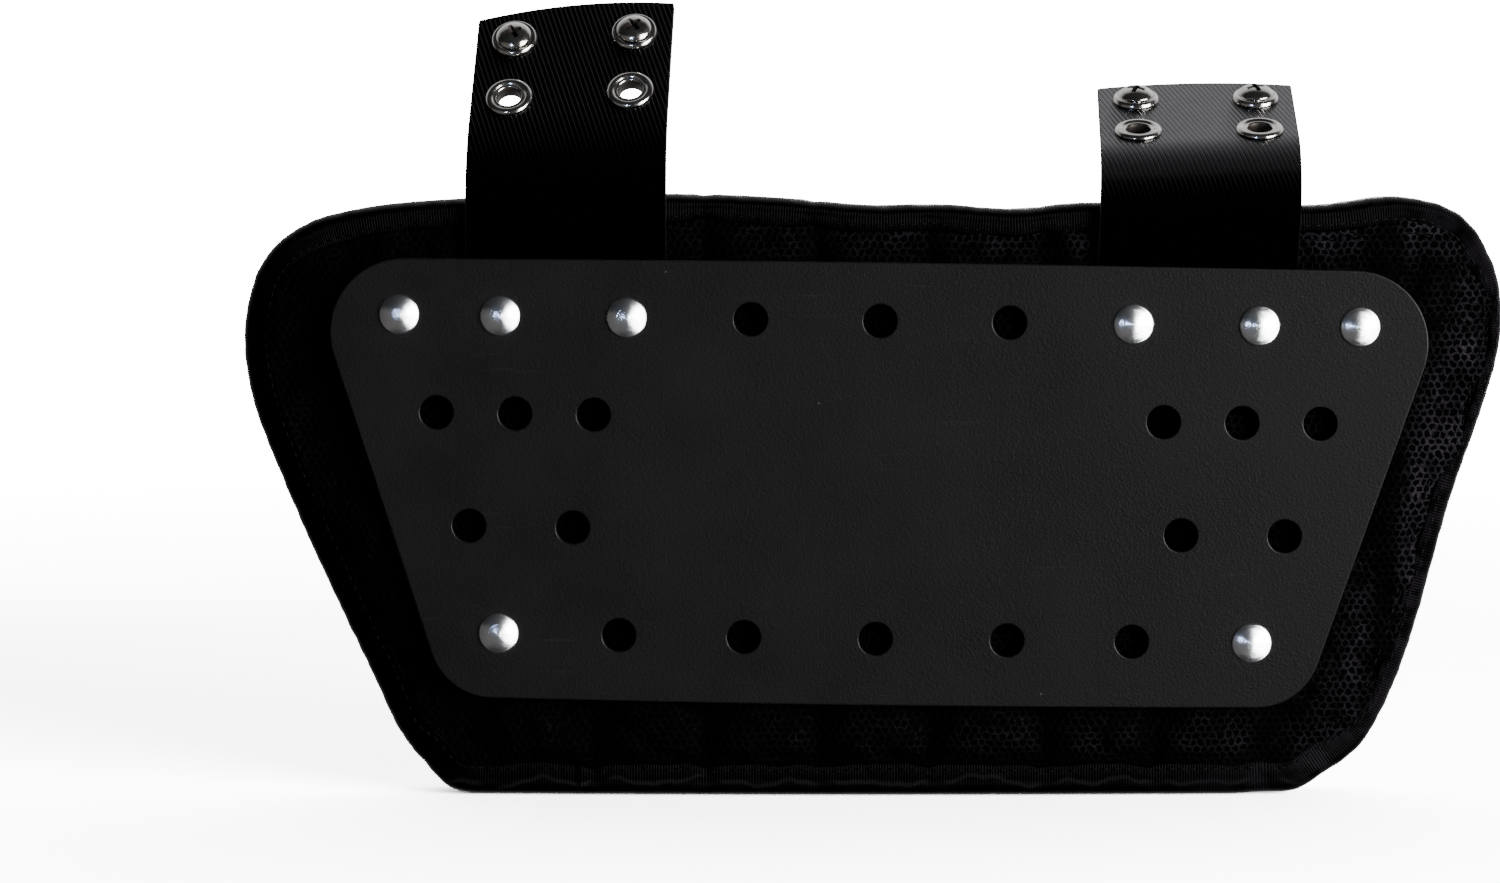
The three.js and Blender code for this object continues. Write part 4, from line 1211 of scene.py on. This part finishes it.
def build_rivets():
    shank = PLATE_THICKNESS + 2.5
    dome = [(0, 0), (0.5, 0.03), (1.2, 0.14), (2.4, 0.44), (3.7, 0.92), (4.8, 1.42)]
    dome = [(radius, depth - RIVET_RISE) for radius, depth in dome]
    profile = eased(dome + [(5.6, -0.72), (6.02, -0.32), (RIVET_HEAD / 2, -0.06)], 4)
    profile += [(RIVET_HEAD / 2 - 0.1, 0.0), (2.5, 0.0), (2.5, shank), (0, shank)]
    places = []
    for row in PLATE_ROWS:
        for share in row["rivets"]:
            for sign, side in ((-1, "left"), (1, "right")):
                x = sign * share * PLATE_TOP_WIDTH
                places.append((f"rivet_{row['name']}_{side}", x, row["up"] * PLATE_HEIGHT))
    for strap in STRAPS:
        for end, letter in ((-1, "a"), (1, "b")):
            x = strap["sign"] * STRAP_OFFSET + end * STRAP_RIVET_SPACING / 2
            places.append((f"rivet_strap_{strap['side']}_{letter}", x, RIVET_ROW_Z))
    for name, x, z in places:
        rivet = lathe(f"{name}_dome", profile, ALUMINIUM, PLATE @ on_bow(x, 0, z))
        taken(rivet, "rivet", name)


build_rivets()


# Straps and their fittings

def strap_end(strap, x):
    share = x / STRAP_WIDTH
    arc = strap["radius"] * math.radians(strap["bend"])
    cut = STRAP_END_ARC * (1 - 4 * share * share) + strap["end_slant"] * share
    return BEND_LINE + arc + strap["reach"] + cut


def strap_point(strap, x, v, depth):
    turn, bend, radius = math.radians(strap["axis_turn"]), math.radians(strap["bend"]), strap["radius"]
    along = x * math.cos(turn) + (v - BEND_LINE) * math.sin(turn)
    across = -x * math.sin(turn) + (v - BEND_LINE) * math.cos(turn)
    angle = min(max(across / radius, 0), bend)
    before, after = min(across, 0), max(across - radius * bend, 0)
    inner = radius - depth
    rise = before + inner * math.sin(angle) + after * math.cos(angle)
    back = radius - inner * math.cos(angle) + after * math.sin(angle)
    return Vector((along * math.cos(turn) - rise * math.sin(turn), back,
                   BEND_LINE + along * math.sin(turn) + rise * math.cos(turn) - STRAP_TUCK))


def strap_frame(strap, x, v):
    origin = strap_point(strap, x, v, 0)
    into = (strap_point(strap, x, v, 1) - origin).normalized()
    across = (strap_point(strap, x + 1, v, 0) - origin).normalized()
    along = across.cross(into)
    turned = Matrix((across, into, along)).transposed().to_4x4()
    return Matrix.Translation(origin) @ turned


def strap_matrix(strap):
    x = strap["sign"] * STRAP_OFFSET
    return (PLATE @ on_bow(x, PLATE_THICKNESS + STRAP_SEAT, RIVET_ROW_Z)
            @ Matrix.Rotation(math.radians(strap["lean"]), 4, "Y")
            @ Matrix.Translation((strap["shift"], 0, 0)))


def fitting_places(strap):
    for sign, hand in ((-1, "a"), (1, "b")):
        x = sign * FITTING_SPACING / 2
        slant = strap["end_slant"] * x / STRAP_WIDTH / 2
        row = strap_end(strap, 0) - STRAP_END_ARC - FITTING_FROM_END + slant
        yield "screw", f"{strap['side']}_{hand}", x, row
        yield "eyelet", f"{strap['side']}_{hand}", x, row - FITTING_ROWS


def build_strap(strap):
    half = STRAP_WIDTH / 2
    corners = []
    for step in range(25):
        x = half - STRAP_WIDTH * step / 24
        corners.append((x, strap_end(strap, x)))
    outline, _ = even_run(np.array([(-half, 0.0), (half, 0.0), *corners]), 300)
    holes = [circle(x, v, 4.2, 28) for kind, _, x, v in fitting_places(strap) if kind == "eyelet"]
    base = strap_matrix(strap)

    def place(x, depth, v):
        return base @ strap_point(strap, x, v, depth)

    obj = sheet_body(f"strap_sheet_{strap['side']}", outline, holes, STRAP_THICKNESS, 0.3, (3, 2.4), place,
                     [STRAP, STRAP_EDGE_HIGHLIGHT])
    taken(obj, "strap", f"strap_{strap['side']}")


def phillips(obj, place, depth, turn):
    """Cuts a cross recess into a screw's head."""
    body = bmesh.new()
    for arm in (0, math.pi / 2):
        corners = []
        for level, long, wide in ((-1.0, 3.7, 0.85), (0.0, 3.25, 0.75), (2.0, 1.2, 0.5)):
            for a, b in ((-1, -1), (1, -1), (1, 1), (-1, 1)):
                local = Matrix.Rotation(turn + arm, 4, "Y") @ Vector((a * long, depth + level, b * wide))
                corners.append(body.verts.new((place @ local) * MM))
        for k in (0, 4):
            for i in range(4):
                j = (i + 1) % 4
                body.faces.new([corners[k + i], corners[k + j], corners[k + 4 + j], corners[k + 4 + i]])
        body.faces.new(corners[0:4])
        body.faces.new(corners[8:12])
    bmesh.ops.recalc_face_normals(body, faces=body.faces)
    mesh = bpy.data.meshes.new("recess_cutter")
    body.to_mesh(mesh)
    body.free()
    # The cut faces take the dark recess metal: painted shade in the cross.
    for material in (NICKEL, RECESS):
        mesh.materials.append(material)
    mesh.polygons.foreach_set("material_index", [1] * len(mesh.polygons))
    obj.data.materials.append(RECESS)
    cutter = scene_object("recess_cutter", mesh)
    cut = obj.modifiers.new("recess", "BOOLEAN")
    cut.operation = "DIFFERENCE"
    cut.solver = "EXACT"
    cut.use_self = True
    cut.object = cutter
    bpy.context.view_layer.update()
    made = bpy.data.meshes.new_from_object(obj.evaluated_get(bpy.context.evaluated_depsgraph_get()))
    obj.modifiers.remove(cut)
    old = obj.data
    obj.data = made
    bpy.data.meshes.remove(old)
    bpy.data.objects.remove(cutter)
    bpy.data.meshes.remove(mesh)
    crease = obj.modifiers.new("crease", "EDGE_SPLIT")
    crease.split_angle = CREASE_ANGLE


SCREW_TURNS = {"left_a": 62, "left_b": 50, "right_a": 20, "right_b": 70}
SCREW_TOP = -4.5
EYELET_BORE = 3.9

# Profiles of the fittings as (radius, depth), from the strap's front face.
EYELET = eased([
    (7.2, -0.03), (7.2, -0.55), (6.85, -1.1), (6.2, -1.45), (5.5, -1.42), (5.0, -1.1),
    (4.75, -0.9), (4.5, -1.0), (4.15, -1.0), (3.8, -0.72), (3.58, -0.2), (3.5, 0.6),
], 3) + [
    (3.5, 2.8), (3.6, 3.0), (4.0, 3.12), (5.6, 3.1), (6.3, 2.9), (6.5, 2.5),
    (6.45, 2.02), (4.0, 2.02), (4.0, -0.03),
]
WASHER = eased([
    (2.7, -0.8), (4.6, -1.2), (5.3, -1.36), (5.75, -1.66), (6.15, -1.76), (6.55, -1.6),
    (6.9, -1.15), (7.13, -0.6), (7.2, -0.25), (7.2, -0.02),
], 3) + [(2.7, -0.02)]
SCREW = eased([
    (0, SCREW_TOP), (1.4, -4.42), (2.8, -4.1), (4.1, -3.55), (5.0, -2.86), (5.4, -2.36), (5.45, -2.1),
], 4) + [(5.25, -1.92), (2.4, -1.1), (2.4, 3.6), (2.1, 3.9), (0, 3.9)]
NUT = [
    (2.75, 0.1), (3.5, 0.1), (3.5, 2.02), (6.3, 2.02), (6.5, 2.15), (6.5, 3.0), (6.25, 3.3),
    (3.1, 3.4), (2.75, 3.1),
]


def build_fittings(strap):
    base = strap_matrix(strap)
    for kind, name, x, v in fitting_places(strap):
        place = base @ strap_frame(strap, x, v)
        if kind == "eyelet":
            # Its bore takes the dark recess metal: painted shade inside it.
            ring = lathe(f"eyelet_ring_{name}", EYELET, NICKEL, place, True, (EYELET_BORE, RECESS))
            taken(ring, "fitting", f"eyelet_{name}")
            continue
        cup = lathe(f"washer_cup_{name}", WASHER, NICKEL, place, closed=True)
        taken(cup, "fitting", f"cup_washer_{name}")
        head = lathe(f"screw_head_{name}", SCREW, NICKEL, place)
        phillips(head, place, SCREW_TOP, math.radians(SCREW_TURNS[name]))
        taken(head, "fitting", f"screw_{name}")
        back = lathe(f"nut_flange_{name}", NUT, NICKEL, place, closed=True)
        back.modifiers.new("crease", "EDGE_SPLIT").split_angle = CREASE_ANGLE
        taken(back, "fitting", f"tee_nut_{name}")


for strap in STRAPS:
    build_strap(strap)
    build_fittings(strap)


# Floor, light and camera

def build_floor():
    mesh = bpy.data.meshes.new("floor")
    half = 6.0
    corners = [(-half, -half, 0), (half, -half, 0), (half, half, 0), (-half, half, 0)]
    mesh.from_pydata(corners, [], [(0, 1, 2, 3)])
    floor = scene_object("floor", mesh)
    mesh.materials.append(floor_material())
    floor.visible_glossy = False
    return floor


def area_light(name, at, aim, size, watts, colour=(1, 1, 1), receivers=None, unblocked=None):
    """A soft rectangle of light, which may be kept to one group of pieces."""
    data = bpy.data.lights.new(name, "AREA")
    data.shape = "RECTANGLE"
    data.size, data.size_y = size
    data.energy = watts
    data.color = colour
    light = scene_object(name, data)
    light.location = at
    light.rotation_euler = (Vector(aim) - Vector(at)).to_track_quat("-Z", "Y").to_euler()
    if receivers is not None:
        light.light_linking.receiver_collection = receivers
    if unblocked is not None:
        light.light_linking.blocker_collection = unblocked


def pieces_of(name, *materials):
    """A group of the pieces that have one of the materials."""
    group = bpy.data.collections.new(name)
    for obj in bpy.context.scene.objects:
        if obj.type == "MESH" and set(obj.data.materials) & set(materials):
            group.objects.link(obj)
    return group


def all_but(name, *objects):
    """A group that stands for all pieces but these."""
    group = bpy.data.collections.new(name)
    for obj in objects:
        group.objects.link(obj)
    for member in group.collection_objects:
        member.light_linking.link_state = "EXCLUDE"
    return group


def build_world():
    """A studio that shows pale all round, and lights the object mostly from behind and the right."""
    world = bpy.data.worlds.new("studio")
    bpy.context.scene.world = world
    world.use_nodes = True
    tree = world.node_tree
    surround = tree.nodes["Background"]
    where = tree.nodes.new("ShaderNodeTexCoord")
    split = tree.nodes.new("ShaderNodeSeparateXYZ")
    tree.links.new(where.outputs["Generated"], split.inputs[0])
    shares = []
    for axis, low, high, least, most in (("Y", 0.05, 0.6, 0.028, 1.0), ("X", -0.8, 0.6, 0.7, 1.15)):
        share = tree.nodes.new("ShaderNodeMapRange")
        for name, value in (("From Min", low), ("From Max", high), ("To Min", least), ("To Max", most)):
            share.inputs[name].default_value = value
        tree.links.new(split.outputs[axis], share.inputs["Value"])
        shares.append(share)
    level = tree.nodes.new("ShaderNodeMath")
    level.operation = "MULTIPLY"
    for share, socket in zip(shares, level.inputs):
        tree.links.new(share.outputs[0], socket)
    tree.links.new(level.outputs[0], surround.inputs["Strength"])
    surround.inputs["Color"].default_value = (0.97, 0.98, 1.0, 1)
    shown = tree.nodes.new("ShaderNodeBackground")
    shown.inputs["Color"].default_value = (1, 1, 1, 1)
    shown.inputs["Strength"].default_value = 20
    ray = tree.nodes.new("ShaderNodeLightPath")
    mix = tree.nodes.new("ShaderNodeMixShader")
    tree.links.new(ray.outputs["Is Camera Ray"], mix.inputs[0])
    tree.links.new(surround.outputs[0], mix.inputs[1])
    tree.links.new(shown.outputs[0], mix.inputs[2])
    tree.links.new(mix.outputs[0], tree.nodes["World Output"].inputs["Surface"])


MIDDLE = (0, 0, 0.1)
METAL = pieces_of("metal", ALUMINIUM, NICKEL)
RIVET_PIECES = pieces_of("rivets", ALUMINIUM)
FITTING_PIECES = pieces_of("fittings", NICKEL)
STRAP_PIECES = pieces_of("straps", STRAP)
SOFT_PIECES = pieces_of("soft", MESH, TAPE, THREAD)
NOT_FLOOR = all_but("not_floor", build_floor())
NOT_STRAPS = all_but("not_straps", *STRAP_PIECES.objects)
build_world()
area_light("key", (2.45, -2.25, 0.6), MIDDLE, (2.4, 1.6), 175, (1, 0.985, 0.97), NOT_STRAPS)
area_light("glint", (1.5, -1.3, 0.0), MIDDLE, (2.4, 3.3), 420, (1, 1, 1), RIVET_PIECES, NOT_FLOOR)
area_light("shine", (1.4, -1.3, -0.15), MIDDLE, (1.0, 1.2), 36, (1, 1, 1), FITTING_PIECES, NOT_FLOOR)
area_light("bounce", (-1.3, -1.25, -0.45), MIDDLE, (2.4, 2.4), 1.9, (1, 0.92, 0.86), METAL, NOT_FLOOR)
area_light("sky", (1.45, 1.15, 1.6), (1.45, 1.15, 0), (3.0, 3.5), 22.5, (0.98, 0.9, 1), STRAP_PIECES)
area_light("behind", (0.6, 1.9, 0.14), MIDDLE, (0.9, 0.9), 42, (1, 0.98, 0.97), SOFT_PIECES)
area_light("window", (-0.5, -1.4, 0.2), MIDDLE, (0.13, 0.13), 3.4, (0.5, 0.66, 1), METAL)

EYE = Vector((-0.036876, -1.228185, 0.192608))
LOOK_DOWN = math.radians(4)
camera_data = bpy.data.cameras.new("camera")
camera_data.lens = 96
camera_data.sensor_width = 36
camera = scene_object("camera", camera_data)
camera.location = EYE
camera.rotation_euler = (math.pi / 2 - LOOK_DOWN, 0, 0)
bpy.context.scene.camera = camera
